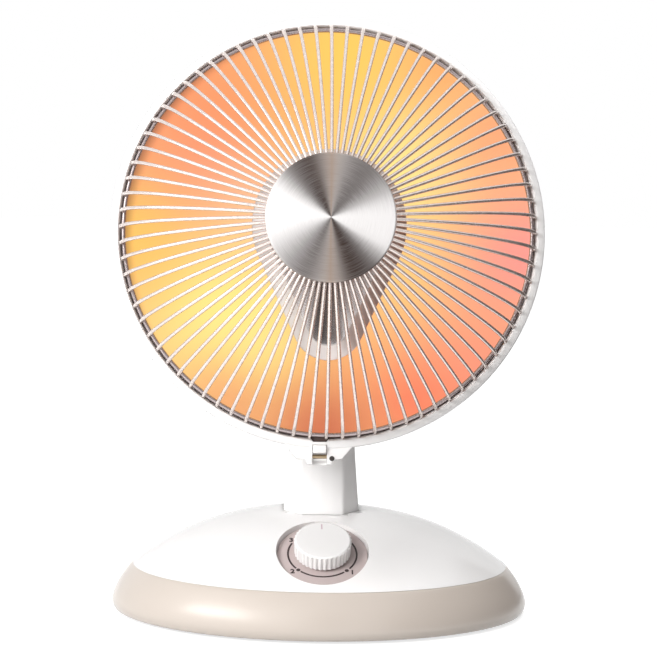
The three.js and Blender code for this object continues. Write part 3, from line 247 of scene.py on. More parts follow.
def spun_lines_and_painted_reflection():
    """Rings left by a spinning brush, with painted reflection in bright and dark wedges, on a face whose
    middle is the origin.
    """
    tree, given, out = new_group("spun lines and painted reflection", "ShaderNodeTree", [
        ("Vector", "Vector", None), ("Bright", "Color", (1, 1, 1, 1)),
        ("Dark", "Color", (0.1, 0.1, 0.1, 1)), ("Warm Reflection", "Color", (0.4, 0.3, 0.2, 1)),
        ("Fineness", "Float", 4400)], SURFACE)
    parts = add(tree, "ShaderNodeSeparateXYZ", {"Vector": given["Vector"]}).outputs
    squares = [maths(tree, "MULTIPLY", parts[axis], parts[axis]) for axis in ("X", "Y")]
    radius = maths(tree, "SQRT", maths(tree, "ADD", *squares))
    angle = maths(tree, "ARCTAN2", parts["Y"], parts["X"])
    lines = add(tree, "ShaderNodeTexNoise", {"W": radius, "Scale": given["Fineness"],
                                             "Detail": 5, "Roughness": 0.7},
                noise_dimensions="1D").outputs["Fac"]
    broken = add(tree, "ShaderNodeCombineXYZ", {
        "X": maths(tree, "MULTIPLY", radius, 3400), "Y": maths(tree, "MULTIPLY", angle, 2.2)})
    threads = noise(tree, broken.outputs[0], 1, 3)
    share = maths(tree, "MULTIPLY_ADD", angle, 0.5 / math.pi, 0.5)
    # Painted reflection: the wedges set the face's brightness by direction; the broken threads add real
    # brush marks
    painted_brightness = maths(tree, "ADD", grey_ramp(tree, share, PAINTED_REFLECTION_WEDGES, -180, 360),
                  maths(tree, "MULTIPLY_ADD", threads, 0.3, -0.15))
    face = blend_colour(tree, painted_brightness, given["Dark"], given["Bright"])
    # Painted warm reflection towards the top and bottom of the face
    across = maths(tree, "ABSOLUTE", maths(tree, "COSINE", angle))
    narrow = maths(tree, "POWER", maths(tree, "SUBTRACT", 1, across), 7)
    warm_reflection = maths(tree, "MULTIPLY", narrow, 0.75)
    give(tree, out, {"Colour": blend_colour(tree, warm_reflection, face, given["Warm Reflection"]),
                     "Roughness": maths(tree, "MULTIPLY_ADD", lines, 0.12, 0.28),
                     "Height": maths(tree, "ADD", lines, threads)})
    return tree


MOULDED = moulded_surface()
DRAWN = drawn_metal()
GLOW_PATCH = glow_patch()
SPUN_AND_PAINTED_REFLECTION = spun_lines_and_painted_reflection()


# Finishes, kept by name as they are made

FINISHES = {}


def new_finish(name, **constants):
    FINISHES[name] = bpy.data.materials.new(name)
    FINISHES[name].use_nodes = True
    tree = FINISHES[name].node_tree
    shader = tree.nodes["Principled BSDF"]
    for label, value in constants.items():
        shader.inputs[label.replace("_", " ")].default_value = value
    place = add(tree, "ShaderNodeTexCoord").outputs["Object"]
    return tree, shader, place


def roughened(tree, shader, height, distance):
    bump = add(tree, "ShaderNodeBump", {"Height": height, "Distance": distance, "Strength": 1})
    give(tree, shader.inputs, {"Normal": bump.outputs["Normal"]})


def surfaced(tree, shader, group, bump, values):
    """Gives the shader the colour, roughness and height of a surface group."""
    surface = add(tree, "ShaderNodeGroup", values, node_tree=group).outputs
    give(tree, shader.inputs, {"Base Color": surface["Colour"],
                               "Roughness": surface["Roughness"]})
    roughened(tree, shader, surface["Height"], bump)


def plastic(name, colour, roughness, grain=900, depth=0.2, mottle=0.04, bump=0.00004,
            **constants):
    tree, shader, place = new_finish(name, **constants)
    surfaced(tree, shader, MOULDED, bump, {
        "Vector": place, "Grain": grain, "Depth": depth, "Colour": colour, "Mottle": mottle,
        "Roughness": roughness})


def metal(name, colour, stain, roughness, amount=0.25, scale=120, metallic=1):
    tree, shader, place = new_finish(name, Metallic=metallic)
    surfaced(tree, shader, DRAWN, 0.00002, {
        "Vector": place, "Colour": colour, "Stain": stain, "Amount": amount, "Scale": scale,
        "Roughness": roughness})


def in_head_frame(tree, place):
    """Coordinates in metres about the head's middle, +X right, +Y up, +Z forward."""
    return add(tree, "ShaderNodeMapping", {"Vector": place, "Location": HEAD.translation,
                                           "Rotation": (HEAD_TILT, 0, 0)},
               vector_type="TEXTURE").outputs[0]


def glowing_dish():
    """The lamp's light on the dish, painted as a glow on its inner face alone."""
    tree, shader, place = new_finish("glowing_dish", Roughness=0.4, Emission_Strength=0.97)
    forward = tuple(HEAD.to_3x3().col[2].normalized())
    normal = add(tree, "ShaderNodeTexCoord").outputs["Normal"]
    facing = vector_maths(tree, "DOT_PRODUCT", normal, forward)["Value"]
    inside = maths(tree, "GREATER_THAN", facing, 0)
    local = in_head_frame(tree, place)
    flat = vector_maths(tree, "MULTIPLY", local, (1, 1, 0))["Vector"]
    colour = tint(254, 186, 124)
    # Patches of the lamp's painted light; the last and darkest is painted shade along the bottom edge
    for centre, reach, patch, strength in (
            ((-66, 66), 64, tint(254, 154, 106), 1.0),
            ((-76, 16), 46, tint(253, 148, 126), 0.95),
            ((-40, 16), 34, tint(254, 198, 172), 0.7),
            ((44, 44), 54, tint(255, 240, 152), 1.0),
            ((10, 116), 46, tint(255, 212, 96), 0.9),
            ((72, 106), 28, tint(255, 158, 92), 0.55),
            ((-66, -48), 56, tint(255, 240, 144), 1.0),
            ((-44, -80), 24, tint(255, 250, 152), 0.55),
            ((-124, -6), 36, tint(255, 204, 104), 0.9),
            ((58, -20), 36, tint(254, 214, 130), 0.8),
            ((112, 66), 36, tint(255, 168, 122), 0.85),
            ((128, -14), 48, tint(255, 156, 148), 1.0),
            ((98, -88), 46, tint(254, 150, 128), 0.9),
            ((58, -108), 32, tint(250, 128, 100), 0.9),
            ((-62, -110), 32, tint(238, 166, 116), 0.75),
            ((0, -128), 40, tint(206, 116, 84), 1.0)):
        spot = add(tree, "ShaderNodeGroup", {
            "Vector": flat, "Under": colour, "Patch": patch,
            "Centre": (centre[0] / 1000, centre[1] / 1000, 0), "Reach": reach / 1000,
            "Strength": strength}, node_tree=GLOW_PATCH)
        colour = spot.outputs["Colour"]
    # Painted shadow of the housing rim on the dish's left edge
    aside = vector_maths(tree, "DISTANCE", flat, (0.012, -0.004, 0))["Value"]
    shade = ranged(tree, aside, 0.1335, 0.1425, 0, 0.75, interpolation_type="SMOOTHSTEP")
    edge = blend_colour(tree, shade, colour, tint(112, 74, 62))
    # The inner face's orange-brown base colour is painted lamp light too; its ripple is real
    ripple = noise(tree, local, 60, 2)
    painted_lamp_tint = blend_colour(tree, ripple, tint(64, 34, 22), tint(96, 54, 34))
    give(tree, shader.inputs, {
        "Emission Color": blend_colour(tree, inside, (0, 0, 0, 1), edge),
        "Base Color": blend_colour(tree, inside, tint(150, 148, 146), painted_lamp_tint)})
    roughened(tree, shader, ripple, 0.0002)


# Painted reflection: how bright the shield's face is by the distance to the right of its middle, in
# millimetres

PAINTED_REFLECTION_BANDS = ((-50, 0.3), (-40, 0.25), (-32, 0.4), (-24, 0.95), (-16, 0.92), (-10, 0.14), (-3, 0.1),
         (2, 0.3), (9, 0.36), (14, 0.95), (21, 1), (28, 0.4), (40, 0.3))


def polished_shield():
    """Polished steel whose face shows long soft bands, a painted reflection of the dark room; the
    slope's painted reflection darkens towards its right and left.
    """
    tree, shader, place = new_finish("shield_chrome", Metallic=1)
    local = in_head_frame(tree, place)
    parts = add(tree, "ShaderNodeSeparateXYZ", {"Vector": local}).outputs
    drawn = add(tree, "ShaderNodeMapping", {"Vector": local, "Scale": (1, 0.1, 0.1)}).outputs[0]
    streak = noise(tree, drawn, 80, 2)
    across = maths(tree, "ADD", maths(tree, "MULTIPLY_ADD", parts["X"], 10, 0.5),
                   maths(tree, "MULTIPLY_ADD", streak, 0.2, -0.1))
    reflection_bands = grey_ramp(tree, across, PAINTED_REFLECTION_BANDS, -50, 100)
    face = blend_colour(tree, reflection_bands, tint(96, 92, 92), tint(238, 238, 240))
    patchy = ranged(tree, streak, 0.3, 0.7)
    slope = blend_colour(tree, patchy, tint(206, 203, 202), tint(234, 231, 230))
    # Painted reflection: the slope is darker towards the right and the left
    right = ranged(tree, parts["X"], 0.012, 0.028)
    slope = blend_colour(tree, right, slope, tint(204, 202, 203))
    left = ranged(tree, parts["X"], -0.028, -0.04)
    slope = blend_colour(tree, left, slope, tint(198, 194, 195))
    level = ranged(tree, parts["Z"], 0.0249, 0.0254)
    brushed = maths(tree, "MULTIPLY_ADD", level, -0.2, 0.37)
    give(tree, shader.inputs, {"Base Color": blend_colour(tree, level, slope, face),
                               "Roughness": maths(tree, "MULTIPLY_ADD", streak, 0.1, brushed)})
    roughened(tree, shader, streak, 0.000004)


def spun_steel():
    # The disc's steel; its bright and dark wedges and warm tint are painted reflection
    tree, shader, place = new_finish("spun_steel", Metallic=0.62)
    surfaced(tree, shader, SPUN_AND_PAINTED_REFLECTION, 0.00003, {
        "Vector": in_head_frame(tree, place), "Bright": tint(255, 252, 251),
        "Dark": tint(62, 49, 45), "Warm Reflection": tint(166, 142, 124)})


def quartz_glass():
    tree, shader, place = new_finish("quartz_glass", Transmission_Weight=1, IOR=1.46,
                                     Base_Color=tint(255, 240, 228))
    milky = ranged(tree, noise(tree, place, 90, 3), 0, 1, 0.02, 0.14)
    give(tree, shader.inputs, {"Roughness": milky})


def carbon_glow():
    tree, shader, place = new_finish("carbon_glow", Roughness=0.7, Emission_Strength=3)
    weave = noise(tree, place, 500, 3)
    give(tree, shader.inputs, {
        "Emission Color": blend_colour(tree, weave, tint(255, 150, 60), tint(255, 206, 120)),
        "Base Color": blend_colour(tree, weave, tint(120, 60, 30), tint(190, 110, 60))})


plastic("gloss_white", tint(246, 244, 243), 0.24, mottle=0.02, bump=0.000008, Coat_Weight=0.35,
        Coat_Roughness=0.12)
plastic("warm_grey", tint(204, 193, 183), 0.4, mottle=0.03, Coat_Weight=0.75, Coat_Roughness=0.2)
plastic("dial_panel", tint(194, 179, 177), 0.42, grain=1500, depth=0.5)
plastic("print_dark", tint(58, 44, 44), 0.5)
plastic("black_plastic", tint(42, 42, 44), 0.55, depth=0.8, mottle=0.1)
plastic("foot_rubber", tint(30, 30, 31), 0.8, grain=500, depth=1.0, mottle=0.15)
plastic("lamp_ceramic", tint(226, 218, 202), 0.75, grain=700, depth=1.0, mottle=0.12)
plastic("print_pale", tint(206, 180, 190), 0.5)
metal("zinc_steel", tint(196, 197, 200), tint(120, 118, 116), 0.36)
metal("dark_steel", tint(82, 77, 74), tint(40, 36, 34), 0.45, metallic=0.6)
# Painted shade: dark steel for the dish's flange and the guard's tongues in the shaded groove and
# pockets under the rim, and for the sheet in the latch notch
metal("painted_shade_steel", tint(92, 76, 72), tint(50, 38, 36), 0.5, metallic=0.3)
metal("pin_bronze", tint(178, 158, 130), tint(96, 80, 62), 0.4)
metal("guard_chrome", tint(250, 238, 232), tint(84, 70, 68), 0.25, amount=0.5, scale=460,
      metallic=0.8)
# The hoop's chrome is a darker copy of the guard's, as painted shade where the rim shadows it
metal("hoop_chrome_painted_shade", tint(186, 174, 174), tint(120, 108, 108), 0.26, amount=0.3, scale=260,
      metallic=0.9)
polished_shield()
spun_steel()
glowing_dish()
quartz_glass()
carbon_glow()


# Mesh helpers

def eased(points, radius, steps=4):
    """The outline with each corner rounded; radius is one value or one for each corner."""
    count = len(points)
    radii = radius if isinstance(radius, (list, tuple)) else [radius] * count
    result = []
    for i, (point, reach) in enumerate(zip(points, radii)):
        corner = Vector(point)
        before = Vector(points[i - 1]) - corner
        after = Vector(points[(i + 1) % count]) - corner
        turn = before.angle(after)
        if not reach or turn > math.radians(178):
            result.append(tuple(corner))
            continue
        reach = min(reach / math.tan(turn / 2), before.length * 0.48, after.length * 0.48)
        start = corner + before.normalized() * reach
        end = corner + after.normalized() * reach
        for k in range(steps + 1):
            s = k / steps
            result.append(tuple(start * (1 - s) ** 2 + corner * 2 * s * (1 - s) + end * s * s))
    return result


def circle(radius, count, middle=0):
    angles = [2 * math.pi * i / count for i in range(count)]
    return [(middle + radius * math.cos(angle), radius * math.sin(angle)) for angle in angles]


def as_object(name, data):
    piece = bpy.data.objects.new(name, data)
    bpy.context.scene.collection.objects.link(piece)
    return piece


def from_bmesh(name, shape, place=None, outwards=True):
    if place:
        bmesh.ops.transform(shape, matrix=place, verts=shape.verts)
    if outwards:
        bmesh.ops.recalc_face_normals(shape, faces=shape.faces)
    mesh_data = bpy.data.meshes.new(name)
    shape.to_mesh(mesh_data)
    shape.free()
    return as_object(name, mesh_data)


def joined(shape, low, high):
    """Faces between two rows of points; a row may be one point alone."""
    around = max(len(low), len(high))
    if around == 1:
        return
    for j in range(around):
        k = (j + 1) % around
        if len(low) == 1:
            shape.faces.new((low[0], high[k], high[j]))
        elif len(high) == 1:
            shape.faces.new((low[j], low[k], high[0]))
        else:
            shape.faces.new((low[j], low[k], high[k], high[j]))


def lofted(name, rings, place, looped=False):
    """A closed skin over rings of points; looped joins the last ring to the first."""
    shape = bmesh.new()
    rows = [[shape.verts.new(point) for point in ring] for ring in rings]
    for i in range(len(rows) if looped else len(rows) - 1):
        joined(shape, rows[i], rows[(i + 1) % len(rows)])
    if not looped:
        shape.faces.new(rows[0])
        shape.faces.new(rows[-1])
    return from_bmesh(name, shape, place)


def domed_shell(name, outer, inner, top, under, place):
    """A thin shell from its outer rings up to the top, and from under it down its inner rings."""
    shape = bmesh.new()
    rows = [[shape.verts.new(point) for point in ring] for ring in (*outer, *inner)]
    top, under = [shape.verts.new(top)], [shape.verts.new(under)]
    for i in range(len(rows)):
        low, high = rows[i], rows[(i + 1) % len(rows)]
        if i == len(outer) - 1:
            joined(shape, low, top)
            joined(shape, under, high)
        else:
            joined(shape, low, high)
    return from_bmesh(name, shape, place)


def turned(name, profile, place, segments):
    """A profile of (radius, height) pairs turned about Z; its ends may lie on the axis."""
    shape = bmesh.new()
    rows = []
    for radius, height in profile:
        ring = circle(radius, segments) if radius > 1e-6 else [(0, 0)]
        rows.append([shape.verts.new((x, y, height)) for x, y in ring])
    for i in range(len(rows)):
        joined(shape, rows[i], rows[(i + 1) % len(rows)])
    return from_bmesh(name, shape, place)


def rod(name, radius, low, high, place, segments, ease=0):
    profile = [(0, low), (radius, low), (radius, high), (0, high)]
    if ease:
        profile = eased(profile, [0, ease, ease, 0], 2)
    return turned(name, profile, place, segments)


def raised(name, outline, low, high, place, ease=0):
    """A flat outline raised along Z; ease rounds its upper and lower edges."""
    rings = [[(x, y, height) for x, y in outline] for height in (low, high)]
    if not ease:
        return lofted(name, rings, place)
    piece = lofted(name, rings, Matrix.Identity(4))
    bevelled(piece, ease)
    piece.data.transform(place)
    return piece


def evaluated_mesh(piece):
    graph = bpy.context.evaluated_depsgraph_get()
    return bpy.data.meshes.new_from_object(piece.evaluated_get(graph))


def apply_modifiers(piece):
    finished = evaluated_mesh(piece)
    piece.modifiers.clear()
    piece.data = finished
    return piece


def bevelled(piece, width, steps=3, angle=30):
    edge = piece.modifiers.new("edge", "BEVEL")
    edge.width = width
    edge.segments = steps
    edge.limit_method = "ANGLE"
    edge.angle_limit = math.radians(angle)
    edge.harden_normals = False
    return apply_modifiers(piece)


def shaped(piece, operation, tool):
    step = piece.modifiers.new("shape", "BOOLEAN")
    step.operation = operation
    step.solver = "EXACT"
    step.object = tool
    apply_modifiers(piece)


def cut(piece, *tools):
    for tool in tools:
        shaped(piece, "DIFFERENCE", tool)
        bpy.data.objects.remove(tool)


def fused(piece, *others):
    for other in others:
        shaped(piece, "UNION", other)
        bpy.data.objects.remove(other)


def gathered(name, pieces):
    """Several loose solids as one object."""
    shape = bmesh.new()
    for piece in pieces:
        shape.from_mesh(piece.data)
    for piece in pieces:
        bpy.data.objects.remove(piece)
    return from_bmesh(name, shape, outwards=False)


def block(name, low, high, place, ease=0):
    outline = [(low[0], low[1]), (high[0], low[1]), (high[0], high[1]), (low[0], high[1])]
    return raised(name, outline, low[2], high[2], place, ease)


def refined(name, node, width=0.4):
    """A copy of a plain steel part with its edges eased."""
    mesh_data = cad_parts[node].data.copy()
    piece = as_object(name, mesh_data)
    shape = bmesh.new()
    shape.from_mesh(mesh_data)
    bmesh.ops.remove_doubles(shape, verts=shape.verts, dist=1e-6)
    bmesh.ops.dissolve_limit(shape, angle_limit=math.radians(1), verts=shape.verts,
                             edges=shape.edges)
    shape.to_mesh(mesh_data)
    shape.free()
    return bevelled(piece, width / 1000, 2, 32)


def dress(piece, finish, body, slot, *stands_for, smooth=35):
    """Gives a piece its finish, smooth shading and moving body, and hides the solids that it stands for;
    the slot is not used.
    """
    mesh_data = piece.data
    mesh_data.materials.clear()
    mesh_data.materials.append(FINISHES[finish])
    mesh_data.polygons.foreach_set("material_index", [0] * len(mesh_data.polygons))
    mesh_data.polygons.foreach_set("use_smooth", [True] * len(mesh_data.polygons))
    mesh_data.set_sharp_from_angle(angle=math.radians(smooth))
    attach(piece, body)
    if stands_for:
        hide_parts(*stands_for)


# Geometry Nodes: bars set out round a circle, and one thing repeated at given places

def set_out(tree, out, points, thing, turn):
    """Puts the thing at each of the points, turned about Z, and makes that the group's result."""
    spin = add(tree, "ShaderNodeCombineXYZ", {"Z": turn})
    rotation = add(tree, "FunctionNodeEulerToRotation", {"Euler": spin.outputs[0]})
    copies = add(tree, "GeometryNodeInstanceOnPoints", {
        "Points": points, "Instance": thing, "Rotation": rotation.outputs[0]})
    real = add(tree, "GeometryNodeRealizeInstances", {"Geometry": copies.outputs[0]})
    give(tree, out, {"Geometry": real.outputs[0]})


def bars_in_a_circle():
    """Round bars, each from one radius and height to another, set out evenly round Z."""
    tree, given, out = new_group("bars in a circle", "GeometryNodeTree", [
        ("Count", "Int", 12), ("Turn Share", "Float", 0.0), ("Start Radius", "Float", 10),
        ("End Radius", "Float", 20), ("Start Height", "Float", 10), ("End Height", "Float", 0),
        ("Crown", "Float", 1), ("Shoulder", "Float", 1), ("Bar Radius", "Float", 1),
        ("Steps", "Int", 8), ("Sides", "Int", 10)], [("Geometry", "Geometry")])
    line = add(tree, "GeometryNodeCurvePrimitiveLine")
    line = add(tree, "GeometryNodeResampleCurve", {"Curve": line.outputs[0],
                                                   "Count": given["Steps"]})
    along = add(tree, "GeometryNodeSplineParameter").outputs["Factor"]
    left = maths(tree, "SUBTRACT", 1, along)
    share = maths(tree, "SUBTRACT", 1, maths(tree, "POWER", left, 1.6))
    radius = ranged(tree, share, 0, 1, given["Start Radius"], given["End Radius"])
    left = maths(tree, "SUBTRACT", 1, maths(tree, "POWER", share, given["Crown"]))
    left = maths(tree, "POWER", left, given["Shoulder"])
    height = ranged(tree, left, 0, 1, given["End Height"], given["Start Height"])
    spot = add(tree, "ShaderNodeCombineXYZ", {"Y": maths(tree, "MULTIPLY", radius, -1),
                                              "Z": height})
    path = add(tree, "GeometryNodeSetPosition", {"Geometry": line.outputs[0],
                                                 "Position": spot.outputs[0]})
    section = add(tree, "GeometryNodeCurvePrimitiveCircle", {"Resolution": given["Sides"],
                                                             "Radius": given["Bar Radius"]})
    bar = add(tree, "GeometryNodeCurveToMesh", {"Curve": path.outputs[0],
                                                "Profile Curve": section.outputs[0],
                                                "Fill Caps": True})
    points = add(tree, "GeometryNodePoints", {"Count": given["Count"]})
    place = maths(tree, "ADD", add(tree, "GeometryNodeInputIndex").outputs[0],
                  given["Turn Share"])
    turn = maths(tree, "MULTIPLY", maths(tree, "DIVIDE", place, given["Count"]), 2 * math.pi)
    set_out(tree, out, points.outputs[0], bar.outputs[0], turn)
    return tree


def repeated_thing():
    """One thing set at each point of a mesh, or turned in steps about Z at each."""
    tree, given, out = new_group("repeated thing", "GeometryNodeTree", [
        ("Geometry", "Geometry", None), ("Thing", "Object", None), ("Start", "Float", 0.0),
        ("Step", "Float", 0.0)], [("Geometry", "Geometry")])
    thing = add(tree, "GeometryNodeObjectInfo", {"Object": given["Thing"]})
    turn = maths(tree, "MULTIPLY_ADD", add(tree, "GeometryNodeInputIndex").outputs[0],
                 given["Step"], given["Start"])
    set_out(tree, out, given["Geometry"], thing.outputs["Geometry"], turn)
    return tree


BARS = bars_in_a_circle()
REPEATED = repeated_thing()


def grown(name, tree, values, points=()):
    """A plain mesh grown by a Geometry Nodes tree over the given points."""
    seed = bpy.data.meshes.new(name)
    seed.from_pydata([tuple(point) for point in points], [], [])
    piece = as_object(name, seed)
    grow = piece.modifiers.new("grow", "NODES")
    grow.node_group = tree
    for item in tree.interface.items_tree:
        if item.item_type == "SOCKET" and item.in_out == "INPUT" and item.name in values:
            grow[item.identifier] = values[item.name]
    return apply_modifiers(piece)


def circle_of_bars(name, **values):
    return grown(name, BARS, {label.replace("_", " "): value for label, value in values.items()})


def set_at(name, thing, points, start=0.0, step=0.0):
    piece = grown(name, REPEATED, {"Thing": thing, "Start": start, "Step": step}, points)
    bpy.data.objects.remove(thing)
    return piece


# Places in the model

def middle_of(node):
    low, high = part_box(node)
    return (low + high) / 2


def numbered(node, count):
    return [f"{node}_{i}" for i in range(1, count + 1)]


def middles_at(nodes, height):
    return [(middle.x, middle.y, height) for middle in map(middle_of, nodes)]


def turned_down(matrix):
    return matrix @ Matrix.Rotation(math.pi, 4, "X")


# Base: skirt, cover, feet and the floor plate's screws

def oval(half_width, half_depth, height):
    return [(half_width * x, half_depth * y, height) for x, y in circle(1, 168)]


def skirt_ring(share, inwards=0):
    inset = share ** 1.6
    return oval(BASE_HALF_WIDTH - SEAM_INSET_X * inset - inwards,
                BASE_HALF_DEPTH - SEAM_INSET_Y * inset - inwards,
                HEM_HEIGHT + (SEAM_HEIGHT - HEM_HEIGHT) * share)


def hem_ring(inwards, height):
    return oval(BASE_HALF_WIDTH - inwards, BASE_HALF_DEPTH - inwards, height)


def make_skirt():
    rings = [hem_ring(2.1, 2), hem_ring(1.5, 2.3), hem_ring(0.9, 3.2), hem_ring(0.3, 5)]
    rings += [skirt_ring(i / 16) for i in range(16)]
    rings += [oval(BASE_HALF_WIDTH - SEAM_INSET_X + 0.3, BASE_HALF_DEPTH - SEAM_INSET_Y + 0.3,
                   SEAM_HEIGHT - 0.5),
              skirt_ring(1, 0.4), skirt_ring(1, BASE_WALL)]
    rings += [skirt_ring(1 - i / 4, BASE_WALL) for i in range(1, 5)]
    rings += [hem_ring(3.7, 7.3), hem_ring(9.7, 7.3), hem_ring(9.7, 5.3), hem_ring(3.7, 5.3),
              hem_ring(3.7, 2)]
    skirt = lofted("lower_skirt", rings, BASE, looped=True)
    fused(skirt, rod("pad", 10, -8.5, 0, GLAND, 64))
    cut(skirt, rod("seat", 7.9, 0, 6, GLAND, 64), rod("hole", 5.7, -20, 2, GLAND, 48))
    dress(skirt, "warm_grey", "base", "warm_grey", "base_skirt")


def dome_ring(share, inwards=0):
    half_width = BASE_HALF_WIDTH - SEAM_INSET_X - inwards
    half_depth = BASE_HALF_DEPTH - SEAM_INSET_Y - inwards
    rise = DOME_RISE - SEAM_GAP - inwards
    return oval(half_width * share, half_depth * share,
                SEAM_HEIGHT + SEAM_GAP + rise * (1 - share ** 2.5))


# The neck's outline at a share of its height, grown by a margin

def neck_half_sizes(share, margin):
    flare = max(1 - share, 0) ** 1.7
    return (19.5 + 6.9 * flare + margin, 17.5 + 5.1 * flare + margin, 14.4 + margin / 2)


def neck_outline(share, margin):
    half_width, half_depth, crease = neck_half_sizes(share, margin)
    cheek = half_depth * 0.45
    points = [(half_width, -cheek), (half_width, cheek), (crease, half_depth),
              (-crease, half_depth), (-half_width, cheek), (-half_width, -cheek),
              (-crease, -half_depth), (-crease / 2, -half_depth - 0.9),
              (0, -half_depth - 1.2), (crease / 2, -half_depth - 0.9), (crease, -half_depth)]
    return eased(points, 4.5)


def neck_height(share):
    return NECK_FOOT_Z + (NECK_TOP_Z - NECK_FOOT_Z) * share


def neck_solid(name, margin, low, high):
    shares = [low + (high - low) * i / 24 for i in range(25)]
    rings = [[(x, y, neck_height(share)) for x, y in neck_outline(share, margin)]
             for share in shares]
    return lofted(name, rings, BASE)


def make_cover():
    shares = [1 - (i / 44) ** 1.6 for i in range(44)]
    outer = [dome_ring(share) for share in shares]
    outer[0] = dome_ring(1, 0.35)
    inner = [dome_ring(share, BASE_WALL) for share in reversed(shares)]
    top = SEAM_HEIGHT + DOME_RISE
    cover = domed_shell("domed_cover", outer, inner, (0, 0, top), (0, 0, top - BASE_WALL), BASE)
    cup = rod("cup", 31.3, -4.3, 4, DIAL, 128)
    socket = neck_solid("socket", 2.5, -0.02, 0.12)
    dome = lofted("dome", [dome_ring(share) for share in shares], BASE)
    for thickening in (cup, socket):
        shaped(thickening, "INTERSECT", dome)
        fused(cover, thickening)
    bpy.data.objects.remove(dome)
    cut(cover,
        turned("well", [(0, -2.8), (WELL_RADIUS, -2.8), (WELL_RADIUS, -0.6),
                        (WELL_RADIUS + 0.4, 0.4), (WELL_RADIUS + 1, 12), (0, 12)], DIAL, 128),
        rod("eye", 27, -9, 0, DIAL, 96), neck_solid("bore", 0.3, -0.003, 1),
        rod("post_hole", 8.8, 20, 90, BASE, 48))
    dress(cover, "gloss_white", "base", "gloss_white", "base_cover")


def make_feet():
    pad = turned("pad", eased([(0, 0), (7, 0), (8, 1), (8, 2.2), (2.5, 2.2), (2.5, 5.3),
                               (3.6, 5.3), (2.5, 7.1), (0, 7.1)],
                              [0, 0.6, 0.6, 0.3, 0, 0, 0.3, 0.3, 0], 3), METRES, 48)
    feet = numbered("foot", 4)
    dress(set_at("rubber_feet", pad, middles_at(feet, 0)), "foot_rubber", "base",
          "foot_rubber", *feet)


# A pan-head screw along -Z, the underside of its head at the origin, with a cross in the head

def cross_screw(radius, length, head_radius, head_height, place):
    profile = [(0, -length), (radius * 0.55, -length), (radius, -length + radius), (radius, 0),
               (head_radius, 0), (head_radius, head_height * 0.45),
               (head_radius * 0.86, head_height * 0.84), (head_radius * 0.5, head_height),
               (0, head_height)]
    body = turned("screw", profile, METRES, 40)
    arm, thin = head_radius * 0.56, head_radius * 0.14
    for x, y in ((arm, thin), (thin, arm)):
        cut(body, block("slot", (-x, -y, head_height * 0.45), (x, y, head_height * 2), METRES))
    body.data.transform(place @ METRES.inverted())
    return body


def make_plate_screws():
    screws = numbered("plate_screw", 4)
    thing = cross_screw(1.8, 14.4, 3.4, 1.6, turned_down(METRES))
    dress(set_at("plate_screws", thing, middles_at(screws, BASE_WALL / 1000)), "zinc_steel",
          "base", "zinc_steel", *screws)


# Dial: panel, its printed track and numbers, and the ribbed knob

def on_dial(radius, clock):
    """A place on the dial, its angle in degrees clockwise from the top."""
    angle = math.radians(90 - clock)
    return radius * math.cos(angle), radius * math.sin(angle)


def track(start, end, low, high):
    """A flat band along an arc of the dial."""
    steps = round((end - start) / 3)
    clocks = [start + (end - start) * i / steps for i in range(steps + 1)]
    outline = [on_dial(TRACK_RADIUS + 0.62, clock) for clock in clocks]
    outline += [on_dial(TRACK_RADIUS - 0.62, clock) for clock in reversed(clocks)]
    return raised("track", outline, low, high, DIAL)


def numeral(text, radius, clock):
    curve = bpy.data.curves.new("numeral", "FONT")
    curve.body = text
    curve.size = 5.4
    curve.align_x = "CENTER"
    curve.align_y = "CENTER"
    curve.extrude = 0.05
    curve.offset = 0.22
    writing = as_object("numeral", curve)
    mesh_data = evaluated_mesh(writing)
    bpy.data.objects.remove(writing)
    mesh_data.transform(DIAL @ Matrix.Translation((*on_dial(radius, clock), -0.24)))
    return as_object("numeral_" + text, mesh_data)


def make_dial():
    panel = turned("dial_face", eased([(3.3, -2.5), (29.2, -2.5), (29.2, -0.3), (3.3, -0.3)],
                                      [0, 0.2, 0.25, 0], 3), DIAL, 128)
    dress(panel, "dial_panel", "base", "dial_panel", "dial_plate")
    low, high = -0.32, -0.19
    prints = [track(start, end, low, high) for start, end in ((26, 129), (142, 219), (230, 298))]
    for clock in (136, 224.5):
        place = DIAL @ Matrix.Translation((*on_dial(TRACK_RADIUS, clock), 0))
        prints.append(rod("dot", 1.35, low, high, place, 32))
    prints += [numeral("1", 25.9, 133), numeral("2", 25.9, 228), numeral("3", 24.3, 304)]
    dress(gathered("dial_print", prints), "print_dark", "base", "dial_panel")


def make_knob():
    body = turned("knob_body", eased([(3.3, 1.2), (17.5, 1.2), (17.85, 10.4), (18.1, 11.1),
                                      (17.2, 11.65), (0, 11.7), (0, 9.2), (3.3, 9.2)],
                                     [0, 0.3, 0.3, 0.5, 0.5, 0, 0, 0], 3), DIAL, 144)
    ribs = circle_of_bars("knob_ribs", Count=36, Turn_Share=0.5, Start_Radius=17.0,
                          End_Radius=17.3, Start_Height=1.7, End_Height=10.9, Bar_Radius=1.3,
                          Steps=3, Sides=16)
    ribs.data.transform(DIAL)
    dress(gathered("ribbed_knob", [body, ribs]), "gloss_white", "knob", "gloss_white",
          "dial_knob")
    pointer = raised("pointer", eased([(-0.95, 10.6), (-0.15, 10.6), (-0.15, 15.6),
                                       (-0.95, 15.6)], 0.2, 2), 11.5, 11.78, DIAL)
    dress(pointer, "print_pale", "knob", "gloss_white")
    dress(rod("knob_shaft", 3, -13.8, 8.9, DIAL, 40, 0.3), "zinc_steel", "knob", "zinc_steel",
          "switch_shaft")


# Neck: a front and a rear shell with a fine seam, screwed from behind

